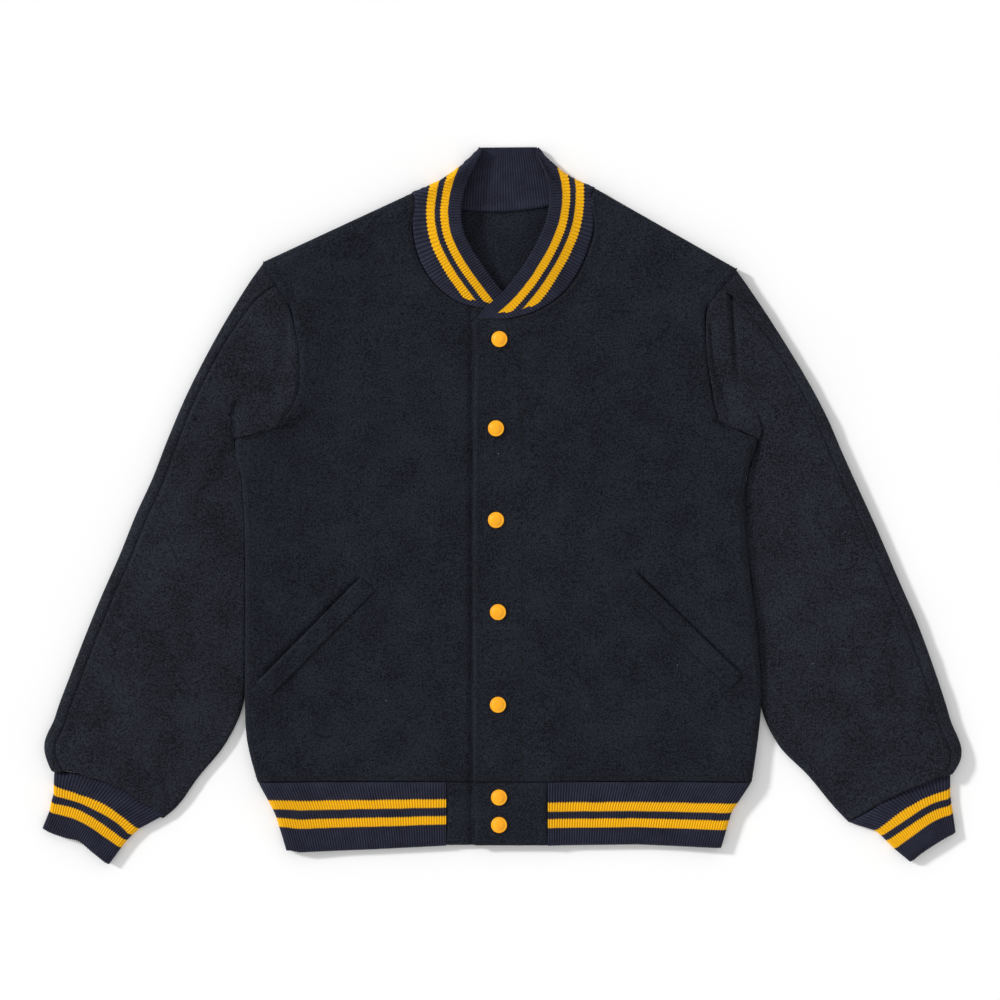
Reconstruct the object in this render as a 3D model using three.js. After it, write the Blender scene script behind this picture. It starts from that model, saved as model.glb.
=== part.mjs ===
// A varsity jacket laid flat, front up: wool body and sleeves, striped rib collar, cuffs and hem, seven snaps.
// Millimetres. X runs across the jacket, Y from the hem to the collar, Z up from the surface that it lies on.
// The wearer's right side is at negative X.
import * as THREE from "three";
import { mergeVertices } from "three/addons/utils/BufferGeometryUtils.js";

// Walls and clearances
const WOOL = 2.2;
const RIB_WALL = 2.4;
const SEAM_TRIM = 0.2;
const SLEEVE_TRIM = 0.45;
const FOLD_STEPS = 3;
const RIB_PITCH = 3.3;
const RIB_RISE = 0.5;

// Body
const HEM_Y = -293;
const UNDERARM_Y = 70;
const MIDDLE_TOP = 7.6;
const EDGE_RADIUS = 7;
const EDGE_FALL = 58;
const PLACKET_LIFT = 3.4;
const PLACKET_LIFT_END = 40;
const PLACKET_LIFT_FALL = 34;
const LOWER_ROWS = 8;
const NECK_STEPS = 6;

// Sleeves
const SLEEVE_RINGS = 14;
const SLEEVE_CROWN = 4.5;
const SLEEVE_INNER_RADIUS = 3.2;
const SLEEVE_OUTER_RADIUS = 6;
const ELBOW_SEAM_INSET = 7;
const UNDERARM_GAP = 1.8;
const UNDERARM_SLIM = 0.4;
const ARMHOLE_GAP = 0.45;
// Shares of the sleeve's length over which it leaves the armhole's shape.
const SLEEVE_SETTLE = 0.22;
const SLEEVE_TURN = 0.12;
const ARMHOLE_REACH = 0.3;
const ARMHOLE_REACH_STEP = 0.08;
const ARMHOLE_REACH_START = 0.02;
// Stations and rings from the underarm over which the wall grows to its full thickness.
const UNDERARM_STATIONS = 9;
const UNDERARM_RINGS = 6;
const WEB_TURNS = [1.2, 0.8];

// Ribs
const HEM_RIB_EDGE_RADIUS = 5;
const CUFF_RADIUS = 4.2;
const CUFF_MIDDLE_TOP = 9.6;
const STAND_RIBS = 34;
const COLLAR_FOLD_RADIUS = 5;
const FOLD_CLEARANCE = 1.8;

// Snaps and welts
const SNAP_DIAMETER = 17;
const SNAP_HEIGHT = 3.2;
const SEAT_GAP = 0.35;
const WELT_THICKNESS = 1.8;

const SNAPS = [
  { x: -2.1, y: 176.1 },
  { x: -5.7, y: 81.6 },
  { x: -5.7, y: -15.4 },
  { x: -3.6, y: -112.9 },
  { x: -3.6, y: -210.9 },
  { x: -2.5, y: -309 },
  { x: -2.5, y: -338.1 },
];

// Soft troughs of the cloth: middle, direction in degrees, half length, half width and depth.
const FOLDS = [
  { x: 120, y: 232, turn: -28, length: 55, width: 13, depth: 1.6 },
  { x: -180, y: -60, turn: 80, length: 90, width: 16, depth: 1.2 },
  { x: 185, y: -70, turn: 60, length: 45, width: 16, depth: 1.0 },
  { x: 233, y: 150, turn: 95, length: 75, width: 9, depth: 2.6 },
  { x: 392, y: -250, turn: 105, length: 42, width: 12, depth: 2.4 },
  { x: -395, y: -270, turn: 140, length: 40, width: 12, depth: 2.6 },
  { x: -330, y: 40, turn: 62, length: 80, width: 14, depth: 1.2 },
  { x: 350, y: -120, turn: 70, length: 60, width: 15, depth: 1.2 },
];

// Each side's outlines in plan. Edges run from the hem or underarm upwards, sleeves from the shoulder to the cuff.
const RIGHT = {
  sign: -1,
  placketX: 18,
  lift: 0,
  side: [
    { x: -258.6, y: -293 }, { x: -266.5, y: -265 }, { x: -271.3, y: -237 }, { x: -271.8, y: -151 },
    { x: -271.8, y: -58 }, { x: -273.9, y: 11 }, { x: -281.4, y: 70 },
  ],
  armhole: [
    { x: -281.4, y: 70 }, { x: -252.7, y: 76.9 }, { x: -235.8, y: 85.3 }, { x: -215.6, y: 118.2 },
    { x: -214, y: 155.3 }, { x: -223, y: 204.1 }, { x: -252.7, y: 258.1 },
  ],
  neck: [
    { x: 18, y: 200 }, { x: -23.2, y: 209.8 }, { x: -47.6, y: 216.3 }, { x: -64, y: 227.7 },
    { x: -79.9, y: 247.1 }, { x: -89.8, y: 268.2 }, { x: -93.8, y: 287.8 }, { x: -94.8, y: 331.3 },
  ],
  sleeve: [
    { outerX: -252.7, outerY: 258.1, innerX: -281.4, innerY: 70 },
    { outerX: -272.9, outerY: 235.9, innerX: -284.5, innerY: 70.5 },
    { outerX: -290.9, outerY: 204.1, innerX: -286, innerY: 64 },
    { outerX: -318.5, outerY: 150, innerX: -284, innerY: 50 },
    { outerX: -347.1, outerY: 87.5, innerX: -279, innerY: 15 },
    { outerX: -367.2, outerY: 35.5, innerX: -274.8, innerY: -30 },
    { outerX: -387.4, outerY: -9, innerX: -273.6, innerY: -80 },
    { outerX: -408, outerY: -59.9, innerX: -273.6, innerY: -130 },
    { outerX: -428.7, outerY: -106.5, innerX: -273.8, innerY: -182 },
    { outerX: -448.8, outerY: -157.4, innerX: -281, innerY: -234 },
    { outerX: -466.9, outerY: -206.2, innerX: -312, innerY: -275 },
    { outerX: -481, outerY: -259, innerX: -349, innerY: -323 },
    { outerX: -479, outerY: -277.5, innerX: -363, innerY: -334 },
  ],
  cuffEnd: { outerX: -486.5, outerY: -341.5, innerX: -418.1, innerY: -381.1 },
};
const LEFT = {
  sign: 1,
  placketX: -29.5,
  lift: PLACKET_LIFT,
  side: [
    { x: 265.5, y: -293 }, { x: 270.9, y: -254 }, { x: 275.8, y: -226 }, { x: 273, y: -151 },
    { x: 261.4, y: -49 }, { x: 258.2, y: 20 }, { x: 270.9, y: 70 },
  ],
  armhole: [
    { x: 270.9, y: 70 }, { x: 250.2, y: 80 }, { x: 233.8, y: 87 }, { x: 221.1, y: 135 },
    { x: 216.4, y: 175 }, { x: 218.5, y: 208.3 }, { x: 249.7, y: 250.7 },
  ],
  neck: [
    { x: -27, y: 197.5 }, { x: -2.1, y: 196 }, { x: 17.4, y: 200.1 }, { x: 41.7, y: 208.3 },
    { x: 62.8, y: 222.8 }, { x: 79.1, y: 243.9 }, { x: 91.8, y: 271.5 }, { x: 97.6, y: 292.6 },
    { x: 98.7, y: 336.6 },
  ],
  sleeve: [
    { outerX: 249.7, outerY: 250.7, innerX: 270.9, innerY: 70 },
    { outerX: 263.5, outerY: 234.8, innerX: 274, innerY: 70.5 },
    { outerX: 284.7, outerY: 200.9, innerX: 275.5, innerY: 64 },
    { outerX: 310.1, outerY: 157.4, innerX: 273, innerY: 50 },
    { outerX: 337.7, outerY: 109.7, innerX: 265.5, innerY: 18 },
    { outerX: 358.9, outerY: 62, innerX: 262.5, innerY: -25 },
    { outerX: 378, outerY: 19.6, innerX: 267, innerY: -75 },
    { outerX: 400.2, outerY: -29.2, innerX: 272, innerY: -125 },
    { outerX: 430.4, outerY: -100.2, innerX: 277.8, innerY: -185 },
    { outerX: 446.9, outerY: -138.3, innerX: 281, innerY: -236 },
    { outerX: 469.1, outerY: -206.2, innerX: 315, innerY: -274 },
    { outerX: 484.5, outerY: -262, innerX: 356, innerY: -323 },
    { outerX: 480, outerY: -279, innerX: 369, innerY: -336.5 },
  ],
  cuffEnd: { outerX: 482.3, outerY: -346, innerX: 434.7, innerY: -378.7 },
};

// The collar's free edge from the front of the neck to the back: share of the neck seam, place in plan, top height.
const COLLAR_RIGHT = [
  { seam: 0.0, x: 14, y: 209, top: 8.3 }, { seam: 0.1, x: 6, y: 220, top: 8.5 },
  { seam: 0.2, x: -8, y: 238, top: 9.5 }, { seam: 0.32, x: -18.4, y: 252, top: 12 },
  { seam: 0.46, x: -31.4, y: 271.5, top: 15 }, { seam: 0.6, x: -40.3, y: 291, top: 17 },
  { seam: 0.74, x: -42.8, y: 312, top: 17 }, { seam: 0.88, x: -37, y: 342, top: 15 },
  { seam: 1.0, x: -20.4, y: 376, top: 10 },
];
const COLLAR_LEFT = [
  { seam: 0.0, x: -24, y: 204.5, top: 12.6 }, { seam: 0.1, x: -9, y: 216, top: 13 },
  { seam: 0.2, x: 3, y: 228, top: 14 }, { seam: 0.33, x: 17.4, y: 245.4, top: 16 },
  { seam: 0.47, x: 30.3, y: 265, top: 17 }, { seam: 0.6, x: 41, y: 285, top: 17.5 },
  { seam: 0.74, x: 49, y: 308, top: 17 }, { seam: 0.88, x: 49.8, y: 342, top: 15 },
  { seam: 1.0, x: 36.2, y: 376, top: 10 },
];
const BACK_NECK_DIP = 14;
const BACK_NECK_SHARES = [0, 0.002, 0.12, 0.3, 0.5, 0.7, 0.88, 0.998, 1];
const NECK_ROW_STEP = 0.3;
const SHOULDER_COLUMNS = 3;
const SHOULDER_SHARE = 0.32;
const STAND_GAP = 0.5;
const STAND_FREE = { from: 0.02, to: 0.98 };
const COLLAR_FOLD_STEPS = 6;
const COLLAR_BULGE = 1.6;

// Where the rows of a rib band stand between its seam and its free edge.
const BAND_ROWS = [0, 0.5, 1];

const point = (x, y, z) => new THREE.Vector3(x, y, z);
const mix = (a, b, t) => a + (b - a) * t;
const between = (a, b, t) => a.clone().lerp(b, t);
const steps = (count) => Array.from({ length: count + 1 }, (_, k) => k / count);
const quarter = (k) => (k / FOLD_STEPS) * (Math.PI / 2);

function smooth(t) {
  const u = Math.min(1, Math.max(0, t));
  return u * u * (3 - 2 * u);
}

const softCurve = (places) => new THREE.CatmullRomCurve3(places, false, "centripetal");

// Points at the given shares of the length of a soft curve through a table's places.
function curvePoints(table, shares) {
  const curve = softCurve(table.map((row) => point(row.x, row.y, 0)));
  curve.arcLengthDivisions = 400;
  return shares.map((share) => curve.getPointAt(share));
}

// Points at the given shares of a table's rows, so that two tables stay paired.
function rowPoints(table, shares) {
  const curve = softCurve(table.map((row) => point(row.x, row.y, 0)));
  return shares.map((share) => curve.getPoint(share));
}

// A place on a polyline, at a share of its length.
function alongLine(points, share) {
  const lengths = points.slice(1).map((p, k) => p.distanceTo(points[k]));
  let left = share * lengths.reduce((a, b) => a + b, 0);
  for (let k = 0; k < lengths.length; k++) {
    if (left <= lengths[k] || k === lengths.length - 1) {
      return between(points[k], points[k + 1], Math.min(1, left / lengths[k]));
    }
    left -= lengths[k];
  }
}

// How far the cloth dips at a place in plan.
function dip(x, y) {
  let depth = 0;
  for (const fold of FOLDS) {
    const turn = THREE.MathUtils.degToRad(fold.turn);
    const along = (x - fold.x) * Math.cos(turn) + (y - fold.y) * Math.sin(turn);
    const across = -(x - fold.x) * Math.sin(turn) + (y - fold.y) * Math.cos(turn);
    depth += fold.depth * Math.exp(-((along / fold.length) ** 4) - (across / fold.width) ** 2);
  }
  return depth;
}

// The lift of the front that lies on top, where it covers the other front.
function placketLift(half, x) {
  return half.lift * (1 - smooth((x - PLACKET_LIFT_END) / PLACKET_LIFT_FALL));
}

// Where a front's columns stand between its inner end and the fold at its side.
const COLUMN_SHARES = [0, 0.13, 0.26, 0.4, 0.56, 0.72, 0.85, 0.94, 1];
const FRONT_COLUMNS = COLUMN_SHARES.length - 1;

// Unit direction along a row of points, to second order at its ends.
function direction(row, k, closed) {
  const last = row.length - 1;
  const pick = (n) => row[closed ? (n + row.length) % row.length : n];
  if (closed || (k > 0 && k < last)) {
    const before = row[k].clone().sub(pick(k - 1));
    const after = pick(k + 1).clone().sub(row[k]);
    const lengthBefore = before.length();
    const lengthAfter = after.length();
    return before.multiplyScalar(lengthAfter / lengthBefore).add(after.multiplyScalar(lengthBefore / lengthAfter))
      .normalize();
  }
  const turn = k === 0 ? 1 : -1;
  const first = row[k + turn].clone().sub(row[k]);
  const second = row[k + 2 * turn].clone().sub(row[k + turn]);
  const lengthFirst = first.length();
  const lengthSecond = second.length();
  first.normalize();
  const bend = first.clone().sub(second.normalize()).multiplyScalar(lengthFirst / (lengthFirst + lengthSecond));
  return first.add(bend).normalize().multiplyScalar(turn);
}

const column = (grid, j) => grid.map((row) => row[j]);

// The way into the cloth from a rim point, square to the rim.
function inward(rim, next, k, closed) {
  const along = direction(rim, k, closed);
  const step = next.clone().sub(rim[k]);
  return step.addScaledVector(along, -step.dot(along)).normalize();
}

// Draws a grid's rims in by the seam trim, so that neighbouring pieces stand apart.
function trimmed(grid, closed, trim) {
  const result = grid.map((row) => row.map((p) => p.clone()));
  const end = grid.length - 1;
  const last = grid[0].length - 1;
  const first = column(grid, 0);
  const final = column(grid, last);
  grid.forEach((row, i) => {
    result[i][0].addScaledVector(inward(first, row[1], i, closed), trim);
    result[i][last].addScaledVector(inward(final, row[last - 1], i, closed), trim);
  });
  if (!closed) {
    for (let j = 0; j <= last; j++) {
      result[0][j].addScaledVector(inward(grid[0], grid[1][j], j, false), trim);
      result[end][j].addScaledVector(inward(grid[end], grid[end - 1][j], j, false), trim);
    }
  }
  return result;
}

// The outward direction at each point of a grid.
function normalsOf(grid, flip, closed) {
  return grid.map((row, i) => row.map((_, j) => {
    const normal = direction(column(grid, j), i, closed).cross(direction(row, j, false)).normalize();
    return flip ? normal.negate() : normal;
  }));
}

// A closed wall on a grid of outer points. raise gives how far a rib stands out, or in where it is negative, and
// slim the share of the thickness that is left.
function wall(points, thickness, {
  flip = false, closed = false, raise = () => 0, slim = () => 1, normals = null, trim = SEAM_TRIM,
} = {}) {
  const grid = trimmed(points, closed, trim);
  const facing = normals ?? normalsOf(grid, flip, closed);
  const outer = [];
  const inner = [];
  grid.forEach((row, i) => {
    outer.push([]);
    inner.push([]);
    row.forEach((p, j) => {
      const normal = facing[i][j];
      const rise = raise(i, j);
      outer[i].push(p.clone().addScaledVector(normal, Math.max(0, rise)));
      inner[i].push(p.clone().addScaledVector(normal, -thickness * slim(i, j) + Math.min(0, rise)));
    });
  });
  const vertices = [];
  const face = (a, b, c) => {
    const order = flip ? [a, c, b] : [a, b, c];
    order.forEach((p) => vertices.push(p.x, p.y, p.z));
  };
  const quad = (a, b, c, d) => {
    face(a, b, c);
    face(a, c, d);
  };
  const across = closed ? grid.length : grid.length - 1;
  const lastRow = grid[0].length - 1;
  for (let i = 0; i < across; i++) {
    const next = (i + 1) % grid.length;
    for (let j = 0; j < lastRow; j++) {
      quad(outer[i][j], outer[next][j], outer[next][j + 1], outer[i][j + 1]);
      quad(inner[i][j], inner[i][j + 1], inner[next][j + 1], inner[next][j]);
    }
    quad(outer[i][0], inner[i][0], inner[next][0], outer[next][0]);
    quad(outer[i][lastRow], outer[next][lastRow], inner[next][lastRow], inner[i][lastRow]);
  }
  if (!closed) {
    const end = grid.length - 1;
    for (let j = 0; j < lastRow; j++) {
      quad(outer[0][j], outer[0][j + 1], inner[0][j + 1], inner[0][j]);
      quad(outer[end][j], inner[end][j], inner[end][j + 1], outer[end][j + 1]);
    }
  }
  const geometry = new THREE.BufferGeometry();
  geometry.setAttribute("position", new THREE.Float32BufferAttribute(vertices, 3));
  const merged = mergeVertices(geometry, 1e-4);
  merged.computeVertexNormals();
  merged.userData.grid = outer;
  return merged;
}

// The armhole's stations: from the underarm up to the middle of the shoulder's fold.
const ARMHOLE_SHARES = [0, 0.035, 0.075, 0.12, 0.24, 0.36, 0.48, 0.6, 0.72, 0.84, 0.94];
const NECK_START = 4;

// How much of the way from flat to fully folded the edge is at an armhole station.
function armholeCurl(k) {
  return k >= FOLD_STEPS ? 0 : 1 - Math.sin(quarter(k));
}

function shoulderOutward(half) {
  const tip = half.armhole.at(-1);
  const neck = half.neck.at(-1);
  const dx = (tip.x - neck.x) * half.sign;
  const dy = tip.y - neck.y;
  const length = Math.hypot(dx, dy);
  return point((-dy / length) * half.sign, dx / length, 0);
}

// Shared seam stations of one side, worked out once.
function seams(half) {
  const outward = shoulderOutward(half);
  const drop = outward.clone().multiplyScalar(-EDGE_RADIUS);
  const tip = half.armhole.at(-1);
  const neckEnd = half.neck.at(-1);
  const armholeTable = [...half.armhole.slice(0, -1), { x: tip.x + drop.x, y: tip.y + drop.y }];
  const neckTable = [...half.neck.slice(0, -1), { x: neckEnd.x + drop.x, y: neckEnd.y + drop.y }];
  const last = ARMHOLE_SHARES.at(-1);
  const armhole = curvePoints(armholeTable, ARMHOLE_SHARES.map((share) => share / last));
  const neck = curvePoints(neckTable, steps(NECK_STEPS));
  const sideRows = curvePoints(half.side, steps(LOWER_ROWS));
  return { outward, armhole, neck, sideRows };
}
RIGHT.seams = seams(RIGHT);
LEFT.seams = seams(LEFT);

// Body rows from the hem to the shoulder's fold: inner and outer ends in plan, and the outer edge's curl.
function bodyRows(half) {
  const { armhole, neck, sideRows } = half.seams;
  const rows = sideRows.map((outer) => ({ inner: point(half.placketX, outer.y, 0), outer, curl: 1 }));
  for (let k = 1; k < armhole.length; k++) {
    const share = k / NECK_START;
    const placket = point(mix(half.placketX, neck[0].x, share), mix(UNDERARM_Y, neck[0].y, share), 0);
    rows.push({ inner: k < NECK_START ? placket : neck[k - NECK_START], outer: armhole[k], curl: armholeCurl(k) });
  }
  return rows;
}

// The front's height over a place, from how near its side and the shoulder are.
function frontTop(half, x, y, fromEdge, fromShoulder) {
  const side = 1 - smooth(fromEdge / EDGE_FALL);
  const shoulder = 1 - smooth(fromShoulder / EDGE_FALL);
  const edge = 1 - (1 - side) * (1 - shoulder);
  return mix(MIDDLE_TOP + placketLift(half, x), 2 * EDGE_RADIUS, edge) - dip(x, y) * (1 - shoulder);
}

function shoulderDistance(half, p) {
  const neck = half.seams.neck.at(-1);
  return Math.max(0, -(p.x - neck.x) * half.seams.outward.x - (p.y - neck.y) * half.seams.outward.y);
}

// Points of one row, from its inner end out to the edge, which curls down to the side seam.
function frontRow(half, row) {
  const inset = row.outer.clone();
  inset.x -= half.sign * EDGE_RADIUS * Math.min(1, row.curl * 2);
  const length = inset.distanceTo(row.inner);
  const points = [];
  for (const t of COLUMN_SHARES) {
    const p = between(row.inner, inset, t);
    const fromEdge = length * (1 - t);
    p.z = frontTop(half, p.x, p.y, fromEdge, shoulderDistance(half, p));
    points.push(p);
  }
  const top = points.at(-1).z;
  for (let k = 1; k <= FOLD_STEPS; k++) {
    const flat = between(inset, row.outer, k / FOLD_STEPS).setZ(top);
    const folded = between(inset, row.outer, Math.sin(quarter(k)));
    folded.z = mix(EDGE_RADIUS, top, Math.cos(quarter(k)));
    points.push(between(flat, folded, row.curl));
  }
  if (row.curl === 0) {
    const edge = points.at(-1);
    const beforeFold = points[FRONT_COLUMNS - 1];
    for (let k = 0; k < FOLD_STEPS; k++) {
      points[FRONT_COLUMNS + k] = between(beforeFold, edge, (k + 1) / (FOLD_STEPS + 1));
    }
  }
  return points;
}

function shoulderArc(row, outward) {
  return [...Array(FOLD_STEPS)].map((_, k) => row.map((p) => {
    const a = quarter(k + 1);
    const q = p.clone().addScaledVector(outward, EDGE_RADIUS * Math.sin(a));
    q.z = mix(EDGE_RADIUS, p.z, Math.cos(a));
    return q;
  }));
}

const transposed = (rows) => rows[0].map((_, i) => rows.map((row) => row[i]));

function frontGrid(half) {
  const rows = bodyRows(half).map((row) => frontRow(half, row));
  return transposed([...rows, ...shoulderArc(rows.at(-1), half.seams.outward)]);
}

function front(half) {
  return wall(frontGrid(half), WOOL, { flip: half.sign < 0 });
}

// The back lies on the surface and curls up to the side and shoulder seams.
function backGrid() {
  const rowsRight = bodyRows(RIGHT);
  const rowsLeft = bodyRows(LEFT);
  const neckLine = backNeckLine();
  const shoulder = steps(SHOULDER_COLUMNS);
  const shares = [
    ...shoulder.map((t) => t * SHOULDER_SHARE),
    ...BACK_NECK_SHARES.slice(1, -1).map((t) => mix(SHOULDER_SHARE, 1 - SHOULDER_SHARE, t)),
    ...shoulder.map((t) => 1 - SHOULDER_SHARE + t * SHOULDER_SHARE),
  ];
  const grid = rowsRight.map((row, j) => {
    const other = rowsLeft[j];
    const insetRight = row.outer.clone();
    insetRight.x += EDGE_RADIUS * Math.min(1, row.curl * 2);
    const insetLeft = other.outer.clone();
    insetLeft.x -= EDGE_RADIUS * Math.min(1, other.curl * 2);
    const weight = smooth((j - LOWER_ROWS) / (rowsRight.length - 1 - LOWER_ROWS));
    const tops = [
      ...shoulder.map((t) => between(insetRight, neckLine[0], t)),
      ...neckLine.slice(1, -1),
      ...shoulder.map((t) => between(neckLine.at(-1), insetLeft, t)),
    ];
    const middle = shares.map((share, n) => between(insetRight, insetLeft, share).lerp(tops[n], weight));
    return [...edgePoints(insetRight, middle[1], row).reverse(), ...middle.slice(1, -1),
      ...edgePoints(insetLeft, middle.at(-2), other)];
  });
  const last = grid.at(-1);
  const edge = FOLD_STEPS + SHOULDER_COLUMNS;
  const isShoulder = (i) => i <= edge || i >= last.length - 1 - edge;
  for (let k = 1; k <= FOLD_STEPS; k++) {
    const a = quarter(k);
    grid.push(last.map((p, i) => {
      if (!isShoulder(i)) return p.clone().add(point(0, k * NECK_ROW_STEP, 0));
      const half = i < last.length / 2 ? RIGHT : LEFT;
      const q = p.clone().addScaledVector(half.seams.outward, EDGE_RADIUS * Math.sin(a));
      return q.setZ(EDGE_RADIUS * (1 - Math.cos(a)));
    }));
  }
  return transposed(grid);
}

// The body's outward directions along one armhole: on the top from the underarm, and on the back likewise.
function armholeNormals(half) {
  const top = normalsOf(frontGrid(half), half.sign < 0, false).at(-1).slice(LOWER_ROWS);
  const under = normalsOf(backGrid(), true, false).at(half.sign < 0 ? 0 : -1).slice(LOWER_ROWS);
  const last = ARMHOLE_SHARES.length;
  const arc = [...under.slice(last, -1), between(under.at(-1), top.at(-1), 0.5), ...top.slice(last, -1).reverse()];
  return [...under.slice(0, last), ...arc, ...top.slice(1, last).reverse()];
}

// The back's neck line on the surface, between the folds of the two shoulders.
function backNeckLine() {
  const right = RIGHT.seams.neck.at(-1);
  const left = LEFT.seams.neck.at(-1);
  return BACK_NECK_SHARES.map((t) => (
    between(right, left, t).add(point(0, -BACK_NECK_DIP * Math.sin(Math.PI * t), 0))
  ));
}

// The back's edge: from the fold's inner end out to the side seam, or flat on to the armhole.
function edgePoints(inset, inside, row) {
  if (row.curl === 0) {
    return steps(FOLD_STEPS + 1).slice(1).map((t) => between(inside, row.outer, t));
  }
  return steps(FOLD_STEPS).map((_, k) => {
    const flat = between(inset, row.outer, k / FOLD_STEPS);
    const folded = between(inset, row.outer, Math.sin(quarter(k)));
    folded.z = EDGE_RADIUS * (1 - Math.cos(quarter(k)));
    return between(flat, folded, row.curl);
  });
}

// One sleeve's rings. Stations run from the fold at the body, over the top or along the floor, to the outer fold.
function sleeveRings(half) {
  const outerCurve = half.sleeve.map((row) => ({ x: row.outerX, y: row.outerY }));
  const innerCurve = half.sleeve.map((row) => ({ x: row.innerX, y: row.innerY }));
  const outer = rowPoints(outerCurve, steps(SLEEVE_RINGS));
  const inner = rowPoints(innerCurve, steps(SLEEVE_RINGS));
  return outer.map((tip, s) => ringAt(half, tip, inner[s], s / SLEEVE_RINGS));
}

function ringAt(half, outer, inner, share) {
  const { armhole, outward } = half.seams;
  const across = inner.clone().sub(outer).normalize();
  const settle = smooth(share / SLEEVE_SETTLE);
  const outerRadius = mix(EDGE_RADIUS, SLEEVE_OUTER_RADIUS, settle);
  const innerRadius = mix(EDGE_RADIUS, SLEEVE_INNER_RADIUS, settle);
  const outerInset = outer.clone().addScaledVector(across, outerRadius);
  const innerInset = inner.clone().addScaledVector(across, -innerRadius);
  const last = armhole.length - 1;
  const inFold = across.clone().negate().lerp(outward, 1 - smooth(share / SLEEVE_TURN)).normalize();
  const top = [];
  const under = [];
  armhole.forEach((seam, k) => {
    const spread = k <= FOLD_STEPS ? 0 : (k - FOLD_STEPS) / (last - FOLD_STEPS);
    let plain = between(innerInset, outerInset, spread);
    if (k === last - 1) plain = outerInset.clone().addScaledVector(across, ELBOW_SEAM_INSET);
    if (k < FOLD_STEPS) plain = innerInset.clone().addScaledVector(across, innerRadius * Math.cos(quarter(k)));
    const reach = Math.min(ARMHOLE_REACH, ARMHOLE_REACH_STEP * (k - FOLD_STEPS) + ARMHOLE_REACH_START);
    const onSeam = k > FOLD_STEPS ? 1 - smooth(share / reach) : Number(share === 0);
    const place = between(plain, seam, onSeam);
    if (share === 0) place.add(armholeGap(half, k));
    const lift = k < FOLD_STEPS ? Math.sin(quarter(k)) : 1;
    const crown = SLEEVE_CROWN * settle * Math.sin(Math.PI * Math.min(1, spread * 0.92 + 0.04)) * (k > FOLD_STEPS);
    const level = mix(2 * innerRadius, 2 * outerRadius, smooth(spread)) + crown;
    const dipped = dip(place.x, place.y) * smooth(spread * 4) * settle;
    top.push(place.clone().setZ(mix(innerRadius, level - dipped, lift)));
    under.push(place.clone().setZ(innerRadius * (1 - lift)));
  });
  const foldCentre = top[last];
  const arc = [];
  for (let k = 1; k < 2 * FOLD_STEPS; k++) {
    const a = -Math.PI / 2 + (k / (2 * FOLD_STEPS)) * Math.PI;
    const radius = share === 0 ? EDGE_RADIUS : outerRadius;
    const q = foldCentre.clone().addScaledVector(inFold, radius * Math.cos(a));
    arc.push(q.setZ(foldCentre.z / 2 + (foldCentre.z / 2) * Math.sin(a)));
  }
  return { top, under, arc };
}

// The step from the body's armhole to the sleeve's: wider in the tight turn under the arm.
function armholeGap(half, k) {
  const share = k / (ARMHOLE_SHARES.length - 1);
  const turn = (share - 0.6) * Math.PI;
  const gap = ARMHOLE_GAP * (1 + share ** 4);
  if (k > FOLD_STEPS + 1) return point(half.sign * gap * Math.cos(turn), -gap * Math.sin(turn), 0);
  return point(half.sign * (k ? ARMHOLE_GAP : UNDERARM_GAP), UNDERARM_GAP, 0);
}

function sleeve(half) {
  const rings = sleeveRings(half);
  const round = transposed(rings.map((ring) => [...ring.under, ...ring.arc, ...ring.top.slice(1).reverse()]));
  const flip = half.sign < 0;
  const normals = normalsOf(round, flip, true);
  armholeNormals(half).forEach((normal, i) => normals[i].splice(0, 1, normal));
  turnWeb(normals);
  const elbow = rings[0].under.length + rings[0].arc.length + 1;
  const topRows = [...round.slice(elbow), round[0]];
  const topNormals = [...normals.slice(elbow), normals[0]];
  const set = { flip, trim: SLEEVE_TRIM };
  return {
    top: wall(topRows, WOOL, { ...set, normals: topNormals, slim: (i, j) => underarmSlim(topRows.length - 1 - i, j) }),
    under: wall(round.slice(0, elbow + 1), WOOL, { ...set, normals: normals.slice(0, elbow + 1), slim: underarmSlim }),
    end: rings.at(-1),
  };
}

// Under the arm the sleeve's first rings face the hem, so that their wall keeps its thickness.
function turnWeb(normals) {
  normals.forEach((row, i) => {
    const station = Math.min(i, normals.length - i);
    if (station > FOLD_STEPS) return;
    WEB_TURNS.forEach((turn, ring) => row[ring].add(point(0, -turn, 0)).normalize());
  });
}

// The sleeve's wall is slimmer in the tight turn under the arm.
function underarmSlim(station, ring) {
  const near = (1 - smooth(station / UNDERARM_STATIONS)) * (1 - smooth(ring / UNDERARM_RINGS));
  return mix(1, UNDERARM_SLIM, near);
}

// Where a cuff's seam and its rib faces start and end, as shares of the sleeve's lower end.
const CUFF_SEAM = { inner: 0.1, outer: 0.985, faceInner: 0.12, faceOuter: 0.965 };
const CUFF_DROP = 0.6;
const CUFF_UNDER_COLUMNS = 6;

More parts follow.
